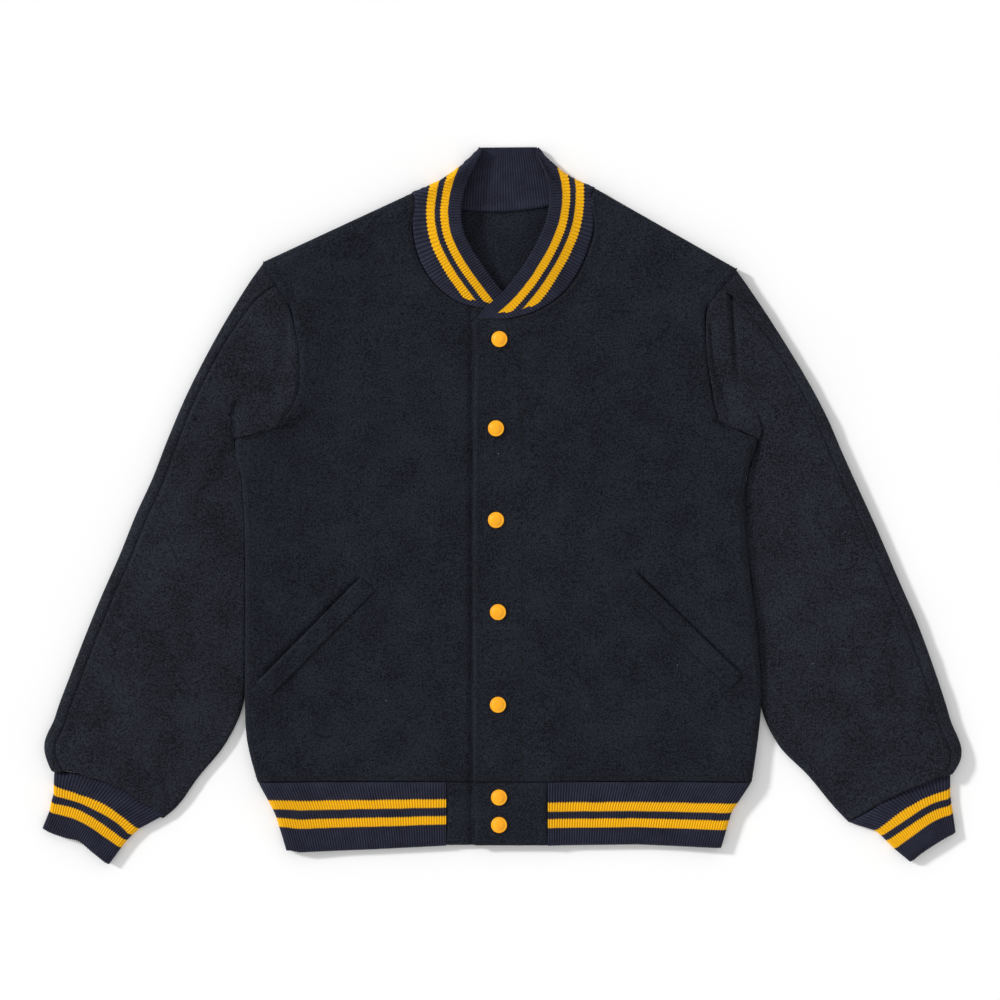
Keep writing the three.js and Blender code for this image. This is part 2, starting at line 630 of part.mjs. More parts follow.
// A cuff: a flattened rib tube, its top face ribbed, from the sleeve's end to its free edge.
function cuff(half, sleeveEnd) {
  const seam = sleeveEnd.top.slice(FOLD_STEPS).map((p) => p.clone().setZ(0));
  const seamInner = alongLine(seam, CUFF_SEAM.inner);
  const seamOuter = alongLine(seam, CUFF_SEAM.outer);
  const cuffInner = point(half.cuffEnd.innerX, half.cuffEnd.innerY, 0);
  const cuffOuter = point(half.cuffEnd.outerX, half.cuffEnd.outerY, 0);
  const ribs = Math.round(seamInner.distanceTo(seamOuter) / RIB_PITCH);
  const down = cuffInner.clone().sub(seamInner).normalize();
  const across = cuffOuter.clone().sub(cuffInner).normalize();
  const endInner = cuffInner.addScaledVector(across, CUFF_RADIUS);
  const endOuter = cuffOuter.addScaledVector(across, -CUFF_RADIUS);
  const line = (t, v) => {
    const share = mix(CUFF_SEAM.faceInner, CUFF_SEAM.faceOuter, t);
    return between(alongLine(seam, share).addScaledVector(down, CUFF_DROP), between(endInner, endOuter, t), v);
  };
  const rows = BAND_ROWS.map((v) => {
    const top = steps(2 * ribs).map((t) => (
      line(t, v).setZ(mix(2 * CUFF_RADIUS, CUFF_MIDDLE_TOP, Math.sin(Math.PI * t)))
    ));
    const under = steps(CUFF_UNDER_COLUMNS).reverse().map((t) => line(t, v));
    return [...top, ...cuffEdge(top.at(-1), across, 1), ...under, ...cuffEdge(under.at(-1), across, -1)];
  });
  return wall(transposed(rows), RIB_WALL, {
    flip: half.sign > 0, closed: true, raise: (i) => (i <= 2 * ribs && i % 2 ? RIB_RISE : 0),
  });
}

// The round of a cuff's edge: down from the top face where way is 1, and up from the floor where it is -1.
function cuffEdge(from, across, way) {
  return [1, 0, -1].map((n) => {
    const a = (way * n * Math.PI) / 4;
    return from.clone().addScaledVector(across, way * CUFF_RADIUS * Math.cos(a))
      .setZ(CUFF_RADIUS * (1 + Math.sin(a)));
  });
}

const HEM_ROWS = [
  { y: HEM_Y - 0.6, right: -257.5, left: 264.5, radius: EDGE_RADIUS },
  { y: -326, right: -240, left: 243.5, radius: 5.6 },
  { y: -364, right: -227.9, left: 232.8, radius: HEM_RIB_EDGE_RADIUS },
];
const HEM_DEPTH = HEM_ROWS[0].y - HEM_ROWS.at(-1).y;
const HEM_ARCH = 4;
const HEM_OVER_FRONT = 0.4;
const HEM_FLOOR_COLUMNS = 12;
const TAB_RIGHT_EDGE = -58.7;
const TAB_LEFT_EDGE = 49.4;
const TAB_FREE_EDGE = -28;
const TAB_BOTTOM = -360;
const TAB_RISE = 0.2;

// The lower edge rises a little towards the middle.
function hemY(row, x) {
  return row.y + HEM_ARCH * (1 - (x / row.left) ** 2) * ((HEM_ROWS[0].y - row.y) / HEM_DEPTH);
}

// A place on the hem rib's front face.
function hemPlace(half, row, x, edge) {
  const fromEdge = Math.abs(edge - x);
  const height = frontTop(half, x, HEM_Y, fromEdge, 2 * EDGE_FALL) + HEM_OVER_FRONT;
  const thinner = 2 * (EDGE_RADIUS - row.radius) * (1 - smooth(fromEdge / EDGE_FALL));
  return point(x, hemY(row, x), height - thinner);
}

// The round of the hem rib's side, from the front face down to the floor.
function hemEdge(row, x, way, top) {
  return [1, 0, -1].map((n) => {
    const a = (n * Math.PI) / 4;
    return point(x + way * row.radius * Math.cos(a), hemY(row, x), (top / 2) * (1 + Math.sin(a)));
  });
}

// The hem rib: one strip from one tab round the back to the other, ribbed where it shows.
function hemRib() {
  const ribsRight = Math.round((TAB_RIGHT_EDGE - RIGHT.side[0].x) / RIB_PITCH);
  const ribsLeft = Math.round((LEFT.side[0].x - TAB_LEFT_EDGE) / RIB_PITCH);
  const rows = HEM_ROWS.map((row) => {
    const right = row.right + row.radius;
    const left = row.left - row.radius;
    const frontRight = steps(2 * ribsRight).map((t) => hemPlace(RIGHT, row, mix(TAB_RIGHT_EDGE, right, t), right));
    const frontLeft = steps(2 * ribsLeft).map((t) => hemPlace(LEFT, row, mix(left, TAB_LEFT_EDGE, t), left));
    const floor = steps(HEM_FLOOR_COLUMNS).map((t) => mix(right, left, t)).map((x) => point(x, hemY(row, x), 0));
    return [
      ...frontRight, ...hemEdge(row, right, -1, frontRight.at(-1).z), ...floor,
      ...hemEdge(row, left, 1, frontLeft[0].z).reverse(), ...frontLeft,
    ];
  });
  const total = rows[0].length;
  const ribbed = (i) => i <= 2 * ribsRight || i >= total - 1 - 2 * ribsLeft;
  return wall(transposed(rows), RIB_WALL, { raise: (i) => (ribbed(i) && i % 2 ? RIB_RISE : 0) });
}

// A cloth tab at an end of the hem rib.
function hemTab(half, from, to) {
  const columns = steps(6).map((t) => mix(from, to, t));
  const levels = steps(3).map((t) => mix(HEM_Y, TAB_BOTTOM, t));
  const grid = columns.map((x) => levels.map((y) => point(x, y, MIDDLE_TOP + placketLift(half, x) + TAB_RISE)));
  return wall(grid, WOOL + TAB_RISE, { flip: true });
}

// The collar: one strip along the neck, folded at both shoulders, with its back stand lying on the surface.
function collar() {
  const flapRight = collarFlap(RIGHT, COLLAR_RIGHT);
  const flapLeft = collarFlap(LEFT, COLLAR_LEFT).reverse();
  const foldRight = collarFold(RIGHT, flapRight.at(-1));
  const foldLeft = collarFold(LEFT, flapLeft[0]).reverse();
  const stand = collarStand(foldRight.at(-1), foldLeft[0]);
  const strips = [...flapRight, ...foldRight, ...stand, ...foldLeft, ...flapLeft];
  const standStart = flapRight.length + foldRight.length;
  const standEnd = standStart + stand.length;
  const grid = strips.map(({ seam, free, bulge }) => BAND_ROWS.map((v) => (
    between(seam, free, v).add(point(0, 0, bulge * Math.sin(Math.PI * v)))
  )));
  const inRightFold = (i) => i >= flapRight.length - 1 && i <= standStart;
  const inLeftFold = (i) => i >= standEnd - 1 && i <= standEnd + foldLeft.length;
  return wall(grid, RIB_WALL, {
    flip: true,
    raise: (i) => {
      if (i % 2 === 0 || inRightFold(i) || inLeftFold(i)) return 0;
      return i >= standStart && i < standEnd ? -RIB_RISE : RIB_RISE;
    },
  });
}

function collarFlap(half, table) {
  const freeCurve = softCurve(table.map((row) => point(row.x, row.y, row.top)));
  const neck = neckEdge(half);
  const total = neck.slice(1).reduce((sum, p, k) => sum + p.distanceTo(neck[k]), 0);
  const ribs = Math.round(total / RIB_PITCH);
  return steps(2 * ribs).map((t) => {
    const row = tableShare(table, t);
    const seam = alongLine(neck, t);
    const free = freeCurve.getPoint(row);
    seam.addScaledVector(free.clone().sub(seam).setZ(0).normalize(), STAND_GAP).z += STAND_GAP;
    return { seam, free, bulge: COLLAR_BULGE * smooth(t * 3 - 0.6) * (1 - smooth((t - 0.7) / 0.3)) };
  });
}

// Where a share of the neck seam falls between the table's rows, as a share of the rows.
function tableShare(table, share) {
  for (let k = 1; k < table.length; k++) {
    if (share <= table[k].seam) {
      return (k - 1 + (share - table[k - 1].seam) / (table[k].seam - table[k - 1].seam)) / (table.length - 1);
    }
  }
  return 1;
}

// The neck edge of a front at its own heights, so that the collar follows it.
function neckEdge(half) {
  return bodyRows(half).slice(LOWER_ROWS + NECK_START).map((row) => frontRow(half, row)[0].clone());
}

// The collar's turn at a shoulder, from the flap over the fold to the stand underneath.
function collarFold(half, flapEnd) {
  const line = flapEnd.free.clone().sub(flapEnd.seam).setZ(0).normalize();
  const freeOut = point(line.y * half.sign, -line.x * half.sign, 0);
  if (freeOut.y < 0) freeOut.negate();
  const turned = (p, out, radius, a) => (
    p.clone().addScaledVector(out, radius * Math.cos(a)).setZ((p.z / 2) * (1 + Math.sin(a)))
  );
  return steps(COLLAR_FOLD_STEPS).slice(1).map((t) => {
    const a = Math.PI / 2 - t * Math.PI;
    const seam = turned(flapEnd.seam, half.seams.outward, EDGE_RADIUS, a).addScaledVector(line, FOLD_CLEARANCE * t);
    return { seam, free: turned(flapEnd.free, freeOut, COLLAR_FOLD_RADIUS, a), bulge: 0 };
  });
}

function collarStand(from, to) {
  const rise = FOLD_STEPS * NECK_ROW_STEP + 2 * STAND_GAP;
  const line = backNeckLine().slice(1, -1).map((p) => p.add(point(0, rise, 0)));
  return steps(2 * STAND_RIBS).slice(2, -2).map((t) => {
    const free = between(from.free, to.free, mix(STAND_FREE.from, STAND_FREE.to, t));
    return { seam: alongLine(line, t), free, bulge: 0 };
  });
}

// The height of a wall's outer face over a place in plan.
function surfaceTop(geometry, x, y) {
  const grid = geometry.userData.grid;
  let top = -Infinity;
  const test = (a, b, c) => {
    const area = (b.x - a.x) * (c.y - a.y) - (c.x - a.x) * (b.y - a.y);
    if (Math.abs(area) < 1e-9) return;
    const u = ((b.x - x) * (c.y - y) - (c.x - x) * (b.y - y)) / area;
    const v = ((c.x - x) * (a.y - y) - (a.x - x) * (c.y - y)) / area;
    if (u < -1e-9 || v < -1e-9 || u + v > 1 + 1e-9) return;
    top = Math.max(top, u * a.z + v * b.z + (1 - u - v) * c.z);
  };
  for (let i = 0; i + 1 < grid.length; i++) {
    for (let j = 0; j + 1 < grid[i].length; j++) {
      test(grid[i][j], grid[i + 1][j], grid[i + 1][j + 1]);
      test(grid[i][j], grid[i + 1][j + 1], grid[i][j + 1]);
    }
  }
  return top;
}

// A pocket's welt lies on its front, from its upper inner end to its lower outer end.
const WELT_RIGHT = { upper: { x: -141.4, y: -83 }, lower: { x: -251.6, y: -194.5 }, width: 21 };
const WELT_LEFT = { upper: { x: 135, y: -77.6 }, lower: { x: 249.4, y: -187.4 }, width: 20 };
const WELT_COLUMNS = 10;
const WELT_ROWS = [-0.5, -0.17, 0.17, 0.5];

function welt(panel, { upper, lower, width }) {
  const along = point(lower.x - upper.x, lower.y - upper.y, 0);
  const across = point(-along.y, along.x, 0).normalize();
  const grid = steps(WELT_COLUMNS).map((t) => WELT_ROWS.map((v) => {
    const p = point(upper.x, upper.y, 0).addScaledVector(along, t).addScaledVector(across, v * width);
    return p.setZ(surfaceTop(panel, p.x, p.y) + SEAT_GAP + WELT_THICKNESS);
  }));
  return wall(grid, WELT_THICKNESS);
}

// A domed snap cap with a rolled rim, its flat underside just over the cloth.
function snap() {
  const r = SNAP_DIAMETER / 2;
  const profile = [
    { radius: 0, rise: 0 }, { radius: r - 0.6, rise: 0 }, { radius: r, rise: 1 },
    { radius: r - 1.6, rise: 2.4 }, { radius: 0, rise: SNAP_HEIGHT },
  ];
  const geometry = new THREE.LatheGeometry(profile.map((row) => new THREE.Vector2(row.radius, row.rise)), 14);
  return geometry.rotateX(Math.PI / 2);
}

function snapSeat(panel, { x, y }) {
  const r = SNAP_DIAMETER / 2;
  const places = steps(8).map((t) => {
    const a = 2 * Math.PI * t;
    return surfaceTop(panel, x + r * Math.cos(a), y + r * Math.sin(a));
  });
  return Math.max(surfaceTop(panel, x, y), ...places) + SEAT_GAP;
}

// Materials
const wool = (color) => new THREE.MeshStandardMaterial({ color, roughness: 0.95, metalness: 0 });
const WOOL_COLOR = 0x22242b;
const RIB_COLOR = 0x1e1f30;
const SNAP_COLOR = 0xf6ae1c;

const jacket = new THREE.Group();

function add(name, geometry, material) {
  const mesh = new THREE.Mesh(geometry, material);
  mesh.name = name;
  jacket.add(mesh);
  return mesh;
}

const frontRight = front(RIGHT);
const frontLeft = front(LEFT);
const sleeveRight = sleeve(RIGHT);
const sleeveLeft = sleeve(LEFT);
const tabLeft = hemTab(LEFT, TAB_FREE_EDGE, TAB_LEFT_EDGE);
add("back", wall(backGrid(), WOOL, { flip: true }), wool(WOOL_COLOR));
add("front_right", frontRight, wool(WOOL_COLOR));
add("front_left", frontLeft, wool(WOOL_COLOR));
add("sleeve_right_top", sleeveRight.top, wool(WOOL_COLOR));
add("sleeve_right_under", sleeveRight.under, wool(WOOL_COLOR));
add("sleeve_left_top", sleeveLeft.top, wool(WOOL_COLOR));
add("sleeve_left_under", sleeveLeft.under, wool(WOOL_COLOR));
add("cuff_right", cuff(RIGHT, sleeveRight.end), wool(RIB_COLOR));
add("cuff_left", cuff(LEFT, sleeveLeft.end), wool(RIB_COLOR));
add("hem_rib", hemRib(), wool(RIB_COLOR));
add("collar_rib", collar(), wool(RIB_COLOR));
add("hem_tab_right", hemTab(RIGHT, TAB_RIGHT_EDGE, RIGHT.placketX), wool(WOOL_COLOR));
add("hem_tab_left", tabLeft, wool(WOOL_COLOR));
add("pocket_welt_right", welt(frontRight, WELT_RIGHT), wool(WOOL_COLOR));
add("pocket_welt_left", welt(frontLeft, WELT_LEFT), wool(WOOL_COLOR));
SNAPS.forEach((place, k) => {
  const panel = place.y < HEM_Y ? tabLeft : frontLeft;
  const material = new THREE.MeshStandardMaterial({ color: SNAP_COLOR, roughness: 0.2, metalness: 0.1 });
  const cap = add(`snap_${k + 1}`, snap(), material);
  cap.position.set(place.x, place.y, snapSeat(panel, place));
});

export default jacket;
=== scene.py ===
"""A varsity jacket laid flat, front up, on a pale floor.

The scene is in metres and the tables below are in millimetres.
"""

import math

import bpy
import numpy as np
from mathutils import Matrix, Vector
from mathutils.bvhtree import BVHTree


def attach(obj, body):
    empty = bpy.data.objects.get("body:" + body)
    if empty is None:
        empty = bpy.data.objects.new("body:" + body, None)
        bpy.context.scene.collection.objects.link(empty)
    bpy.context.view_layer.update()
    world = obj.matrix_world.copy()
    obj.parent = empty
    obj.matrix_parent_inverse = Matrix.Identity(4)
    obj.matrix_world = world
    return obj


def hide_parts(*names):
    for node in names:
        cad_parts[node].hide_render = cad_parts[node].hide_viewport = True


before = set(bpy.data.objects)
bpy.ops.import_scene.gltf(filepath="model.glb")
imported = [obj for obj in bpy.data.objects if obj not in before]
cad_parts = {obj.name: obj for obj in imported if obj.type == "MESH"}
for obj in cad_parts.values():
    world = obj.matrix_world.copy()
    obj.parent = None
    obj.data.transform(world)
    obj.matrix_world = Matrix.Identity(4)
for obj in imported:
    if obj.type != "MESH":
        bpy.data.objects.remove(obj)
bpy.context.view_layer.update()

MM = 0.001
HEM_Y = -293.0
UNDERARM_Y = 70.0
MIDDLE_TOP = 7.6
EDGE_RADIUS = 7.0
EDGE_FALL = 58.0
PLACKET_LIFT = 3.4
PLACKET_LIFT_END = 40.0
PLACKET_LIFT_FALL = 34.0
LOWER_ROWS = 8
NECK_STEPS = 6
NECK_START = 4
FOLD_STEPS = 3
SLEEVE_RINGS = 14
SLEEVE_CROWN = 4.5
SLEEVE_TUCK = 3.1
SLEEVE_INNER_RADIUS = 3.2
SLEEVE_OUTER_RADIUS = 6.0
ELBOW_SEAM_INSET = 7.0
UNDERARM_GAP = 0.2
ARMHOLE_GAP = 0.15
SLEEVE_SETTLE = 0.22
SLEEVE_TURN = 0.12
ARMHOLE_REACH = 0.3
CUFF_RADIUS = 4.2
CUFF_MIDDLE_TOP = 9.6
STAND_RIBS = 34
COLLAR_FOLD_RADIUS = 5.0
COLLAR_BULGE = 1.6
FOLD_CLEARANCE = -0.8
COLLAR_SAG = 6.0
COLLAR_PLAIN_STRIP = 7.4
STAND_CORNERS = [(-25.0, 380.3), (39.4, 380.8)]
STAND_GAP = 0.5
BACK_NECK_DIP = 14.0
SHOULDER_COLUMNS = 3
SHOULDER_SHARE = 0.32
NECK_ROW_STEP = 0.3
WOOL = 1.5
RIB_WALL = 1.7
RIB_PITCH = 2.75
RIB_HIGH = 0.5
RIB_LOW = -0.3
STATIONS_PER_RIB = 6
SNAP_DIAMETER = 17.0
SEAM_PRESS_REACH = 6
GROOVE_DEPTH = 1.15
GROOVE_WIDTH = 1.6
RIDGE_HEIGHT = 0.8
RIDGE_INSET = 5.2
RIDGE_WIDTH = 3.4
RIDGE_DENT = 1.0
RIDGE_DENT_INSET = 10.6
RIDGE_DENT_WIDTH = 1.5
FRONT_SPACING = 2.4
BACK_SPACING = 6.0
SLEEVE_SPACING = 2.8
BACK_THICKNESS = 2.0
CAP_SEGMENTS = 56
CAP_RINGS = 52

COLUMN_SHARES = [0, 0.13, 0.26, 0.4, 0.56, 0.72, 0.85, 0.94, 1]
ARMHOLE_SHARES = [0, 0.035, 0.075, 0.12, 0.24, 0.36, 0.48, 0.6, 0.72, 0.84, 0.94]
BACK_NECK_SHARES = [0, 0.002, 0.12, 0.3, 0.5, 0.7, 0.88, 0.998, 1]

SNAPS = [(-2.1, 176.1), (-5.7, 81.6), (-5.7, -15.4), (-3.6, -112.9), (-3.6, -210.9), (-2.5, -309.0),
         (-2.5, -338.1)]

# Soft troughs, and ridges where the depth is negative, of the cloth's upward faces:
# middle x and y, direction in degrees, half length, half width, depth.
FOLDS = [
    (120, 232, -28, 55, 13, 1.6),
    (-180, -60, 80, 90, 16, 1.2),
    (185, -70, 60, 45, 16, 1.0),
    (233, 150, 95, 75, 9, 2.6),
    (392, -250, 105, 42, 12, 2.4),
    (-395, -270, 140, 40, 12, 2.6),
    (-330, 40, 62, 80, 14, 1.2),
    (350, -120, 70, 60, 15, 1.2),
    (180, 250, -33, 34, 9, 1.8),
    (100, 216, -12, 30, 12, 1.4),
    (-175, -25, 97, 75, 11, 1.6),
    (-150, -175, 60, 35, 13, 1.2),
    (150, -20, 88, 90, 16, 0.8),
    (-206, -205, 20, 30, 14, 1.0),
    (221, 172, 95, 44, 3.4, 5.0),
    (246, 186, 94, 52, 3.6, 6.0),
    (236, 106, 104, 30, 10, 5.0),
    (252, 84, 120, 18, 5, 3.0),
    (232, 180, 94, 40, 4.2, -1.5),
    (-228, 180, 80, 55, 6, 2.4),
    (-244, 130, 100, 40, 7, 2.0),
    (-300, 30, 60, 60, 9, 1.8),
    (330, 30, -60, 70, 9, 1.6),
    (300, 90, -55, 50, 8, 1.4),
    (-372, -285, 160, 20, 5, 2.4),
    (-355, -300, 105, 26, 5, 2.2),
    (-450, -230, 70, 40, 9, 1.5),
    (440, -210, -62, 44, 9, 1.6),
    (-350, -150, 120, 50, 13, 1.3),
    (280, -40, 91, 120, 13, 2.8),
    (-32.2, -50, 90, 330, 2.0, 3.4),
    (-130, 200, 60, 60, 18, 1.4),
    (60, 60, 80, 90, 20, 0.9),
    (-70, -120, 95, 110, 18, 0.9),
    (110, -200, 20, 60, 16, 1.0),
    (-291, 10, 92, 120, 13, 1.2),
]

RIGHT_TABLE = dict(
    sign=-1, placket=18.0, lift=0.0, bow=13.0,
    side=[(-258.6, -293), (-266.5, -265), (-271.3, -237), (-271.8, -151), (-271.8, -58), (-273.9, 11),
          (-281.4, 70)],
    armhole=[(-281.4, 70), (-252.7, 76.9), (-235.8, 85.3), (-215.6, 118.2), (-214, 155.3), (-223, 204.1),
             (-252.7, 258.1)],
    neck=[(18, 200), (-23.2, 209.8), (-47.6, 216.3), (-64, 227.7), (-79.9, 247.1), (-89.8, 268.2),
          (-93.8, 287.8),
          (-94.8, 331.3)],
    outer=[(-252.7, 258.1), (-272.9, 235.9), (-290.9, 204.1), (-318.5, 150), (-347.1, 87.5), (-367.2, 35.5),
           (-387.4, -9),
           (-408, -59.9), (-428.7, -106.5), (-448.8, -157.4), (-467.5, -208), (-484, -262), (-477.5, -281)],
    inner=[(-281.4, 70), (-284.5, 70.5), (-286, 64), (-281.5, 50), (-276.2, 15), (-273.8, -30),
           (-273.6, -80), (-273.6, -130),
           (-273.8, -182), (-281, -234), (-312, -275), (-347, -322), (-359, -332)],
)
LEFT_TABLE = dict(
    sign=1, placket=-29.5, lift=PLACKET_LIFT, bow=6.0,
    side=[(265.5, -293), (270.9, -254), (275.8, -226), (273, -151), (261.4, -49), (258.2, 20), (270.9, 70)],
    armhole=[(270.9, 70), (250.2, 80), (233.8, 87), (221.1, 135), (216.4, 175), (218.5, 208.3),
             (249.7, 250.7)],
    neck=[(-27, 197.5), (-2.1, 196), (17.4, 200.1), (41.7, 208.3), (62.8, 222.8), (79.1, 243.9),
          (91.8, 271.5),
          (97.6, 292.6), (98.7, 336.6)],
    outer=[(249.7, 250.7), (263.5, 234.8), (284.7, 200.9), (310.1, 157.4), (337.7, 109.7), (358.9, 62),
           (378, 19.6),
           (400.2, -29.2), (430.4, -100.2), (446.9, -138.3), (469.1, -206.2), (487, -268), (479, -284)],
    inner=[(270.9, 70), (274, 70.5), (275.5, 64), (269.5, 50), (261.8, 18), (261.0, -25), (267, -75),
           (272, -125),
           (277.8, -185), (281, -236), (315, -274), (356, -323), (369, -336.5)],
)
# The collar's free edge: share of the neck seam, x, y, height.
COLLAR_RIGHT = [(0.0, 14, 209, 8.3), (0.1, 6, 220, 8.5), (0.2, -8, 238, 9.5), (0.32, -18.4, 252, 12),
                (0.46, -31.4, 271.5, 15),
                (0.6, -40.3, 291, 17), (0.74, -42.8, 312, 17), (0.88, -37, 342, 15), (1.0, -20.4, 376, 10)]
COLLAR_LEFT = [(0.0, -16, 211.5, 12.6), (0.1, -6.5, 219, 13), (0.2, 3, 228, 14), (0.33, 17.4, 245.4, 16),
               (0.47, 30.3, 265, 17),
               (0.6, 41, 285, 17.5), (0.74, 49, 308, 17), (0.88, 49.8, 342, 15), (1.0, 36.2, 376, 10)]

HEM_ROWS = [(HEM_Y - 0.6, -257.5, 264.5, EDGE_RADIUS), (-326.0, -240.0, 243.5, 5.6),
            (-364.0, -227.9, 232.8, 5.0)]
HEM_OVER_FRONT = 0.4
TAB_RIGHT_EDGE = -58.7
TAB_LEFT_EDGE = 49.4
TAB_FREE_EDGE = -28.0
TAB_BOTTOM = -360.0

# Stripe edges across a rib band, in millimetres from its seam.
HEM_STRIPES_RIGHT = [0, 18, 27, 36, 45, 68]
HEM_STRIPES_LEFT = [0, 21.7, 31.6, 39.3, 49.2, 67.9]
COLLAR_STRIPES = [0, 14.3, 23.3, 29.1, 37.6, 50.9]
CUFF_STRIPES = [0, 14, 23, 30, 39, 54]
STRIPE_SHARES = [0, 0.25, 0.375, 0.5, 0.625, 1]

# Each cuff's seam, stripe edges and free edge, from its outer end to its inner end.
CUFF_LINES_RIGHT = [
    [(-474.5, -283), (-455, -284), (-438, -287.8), (-408.6, -296.3), (-388, -309), (-373.5, -320),
     (-357, -328)],
    [(-475, -297), (-449.9, -305.8), (-428.7, -313.2), (-408.6, -324.9), (-385.2, -343.4)],
    [(-475.3, -307.4), (-449.9, -314.3), (-428.7, -323.8), (-408.6, -335.5), (-392.6, -350.3)],
    [(-477.8, -315.4), (-453, -320.7), (-434, -330.2), (-413.9, -344), (-398, -355.6)],
    [(-479.5, -324.9), (-453, -332.3), (-434, -341.9), (-419.1, -352.5), (-403.8, -363.1)],
    [(-486.4, -341.9), (-479.9, -346.1), (-461.5, -352.5), (-448.5, -355.5), (-433.9, -367.3),
     (-417, -381.1)],
]
CUFF_LINES_LEFT = [
    [(476.5, -287), (462.8, -285), (445.8, -289.9), (432, -296.3), (420.4, -303.7), (406.6, -312.2),
     (393.9, -321.7),
     (369, -336.2)],
    [(476.2, -300.5), (456.4, -306.9), (440.5, -314.3), (424.6, -323.8), (410.9, -334.4), (397, -345)],
    [(476.6, -310), (457.5, -315.4), (443.7, -322.8), (429.9, -332.3), (415.6, -341.9), (403.4, -350.3)],
    [(477.6, -317.5), (459.1, -322.8), (445.8, -330.2), (432, -339.7), (419.3, -348.2), (408.7, -355.6)],
    [(479.2, -327), (461.7, -332.8), (450.1, -339.7), (437.4, -349.3), (425.7, -357.8), (417.2, -364.1)],
    [(481.9, -347.2), (470.7, -352.5), (445.8, -368.4), (434.2, -378.3)],
]
HEM_BOTTOM = [(-262, -362), (-228, -364.5), (-214, -367.5), (-136, -364.5), (-59, -360.6), (-31, -359.6),
              (18, -361.4),
              (49, -360.4), (145, -359.3), (233, -363), (262, -361)]

WELTS = {
    "right": dict(upper=(-141.4, -83.0), lower=(-251.6, -194.5), width=21.0),
    "left": dict(upper=(135.0, -77.6), lower=(249.4, -187.4), width=20.0),
}


def smooth(t):
    u = np.clip(t, 0, 1)
    return u * u * (3 - 2 * u)


def mix(a, b, t):
    return a + (b - a) * t


def flat(x, y, z=0.0):
    return np.array([x, y, z], float)


def unit(v):
    return v / np.maximum(np.linalg.norm(v, axis=-1, keepdims=True), 1e-9)


def steps(count):
    return np.linspace(0, 1, count + 1)


def quarter(k):
    return k / FOLD_STEPS * math.pi / 2


def lifted(table):
    return np.array([(row[0], row[1], row[2] if len(row) > 2 else 0.0) for row in table], float)


def curve_at(places, shares):
    """Points of a centripetal Catmull-Rom curve at shares of its rows."""
    pts = np.vstack([2 * places[0] - places[1], places, 2 * places[-1] - places[-2]])
    t = np.clip(np.atleast_1d(np.asarray(shares, float)), 0, 1) * (len(pts) - 3)
    k = np.minimum(t.astype(int), len(pts) - 4)
    w = (t - k)[:, None]
    p0, p1, p2, p3 = (pts[k + n] for n in range(4))
    d0, d1, d2 = (np.maximum(np.linalg.norm(a - b, axis=1, keepdims=True), 1e-4) ** 0.5
                  for a, b in ((p0, p1), (p1, p2), (p2, p3)))
    t1 = ((p1 - p0) / d0 - (p2 - p0) / (d0 + d1) + (p2 - p1) / d1) * d1
    t2 = ((p2 - p1) / d1 - (p3 - p1) / (d1 + d2) + (p3 - p2) / d2) * d1
    return p1 + w * (t1 + w * (-3 * p1 + 3 * p2 - 2 * t1 - t2 + w * (2 * p1 - 2 * p2 + t1 + t2)))


def lengths(points):
    """Length along a polyline up to each of its points."""
    return np.concatenate([[0], np.cumsum(np.linalg.norm(np.diff(points, axis=0), axis=1))])


def along_line(points, shares):
    run = lengths(points)
    at = np.asarray(shares, float) * run[-1]
    return np.stack([np.interp(at, run, points[:, c]) for c in range(3)], axis=-1)


def by_length(places, shares):
    return along_line(curve_at(places, steps(400)), shares)


def dip(x, y):
    """How far the cloth dips at places in plan."""
    depth = np.zeros_like(np.asarray(x, float))
    for fx, fy, turn, length, width, deep in FOLDS:
        c, s = math.cos(math.radians(turn)), math.sin(math.radians(turn))
        along = (x - fx) * c + (y - fy) * s
        across = -(x - fx) * s + (y - fy) * c
        depth = depth + deep * np.exp(-(along / length) ** 4 - (across / width) ** 2)
    return depth


class Half:
    """One side of the jacket with its shared seam stations."""

    def __init__(self, table):
        for key, value in table.items():
            setattr(self, key, lifted(value) if isinstance(value, list) else value)
        tip, neck = self.armhole[-1], self.neck[-1]
        dx, dy = (tip[0] - neck[0]) * self.sign, tip[1] - neck[1]
        self.outward = unit(flat(-dy * self.sign, dx))
        drop = self.outward * -EDGE_RADIUS
        self.armhole_points = by_length(np.vstack([self.armhole[:-1], tip + drop]),
                                        np.array(ARMHOLE_SHARES) / ARMHOLE_SHARES[-1])
        self.neck_points = by_length(np.vstack([self.neck[:-1], neck + drop]), steps(NECK_STEPS))
        self.side_points = by_length(self.side, steps(LOWER_ROWS))

    def rows(self):
        """Inner end, outer end and curl of each body row, from the hem to the shoulder's fold."""
        rows = [(flat(self.placket, outer[1]), outer, 1.0) for outer in self.side_points]
        for k in range(1, len(self.armhole_points)):
            share = k / NECK_START
            first = self.neck_points[0]
            placket = flat(mix(self.placket, first[0], share), mix(UNDERARM_Y, first[1], share))
            inner = placket if k < NECK_START else self.neck_points[k - NECK_START]
            curl = 0.0 if k >= FOLD_STEPS else 1 - math.sin(quarter(k))
            rows.append((inner, self.armhole_points[k], curl))
        return rows


def placket_lift(half, x):
    return half.lift * (1 - smooth((x - PLACKET_LIFT_END) / PLACKET_LIFT_FALL))


def front_top(half, x, from_edge, from_shoulder):
    side = 1 - smooth(from_edge / EDGE_FALL)
    shoulder = 1 - smooth(from_shoulder / EDGE_FALL)
    edge = 1 - (1 - side) * (1 - shoulder)
    return mix(MIDDLE_TOP + placket_lift(half, x), 2 * EDGE_RADIUS, edge)


def shoulder_distance(half, p):
    neck = half.neck_points[-1]
    return np.maximum(0, -((p[..., 0] - neck[0]) * half.outward[0] + (p[..., 1] - neck[1]) * half.outward[1]))


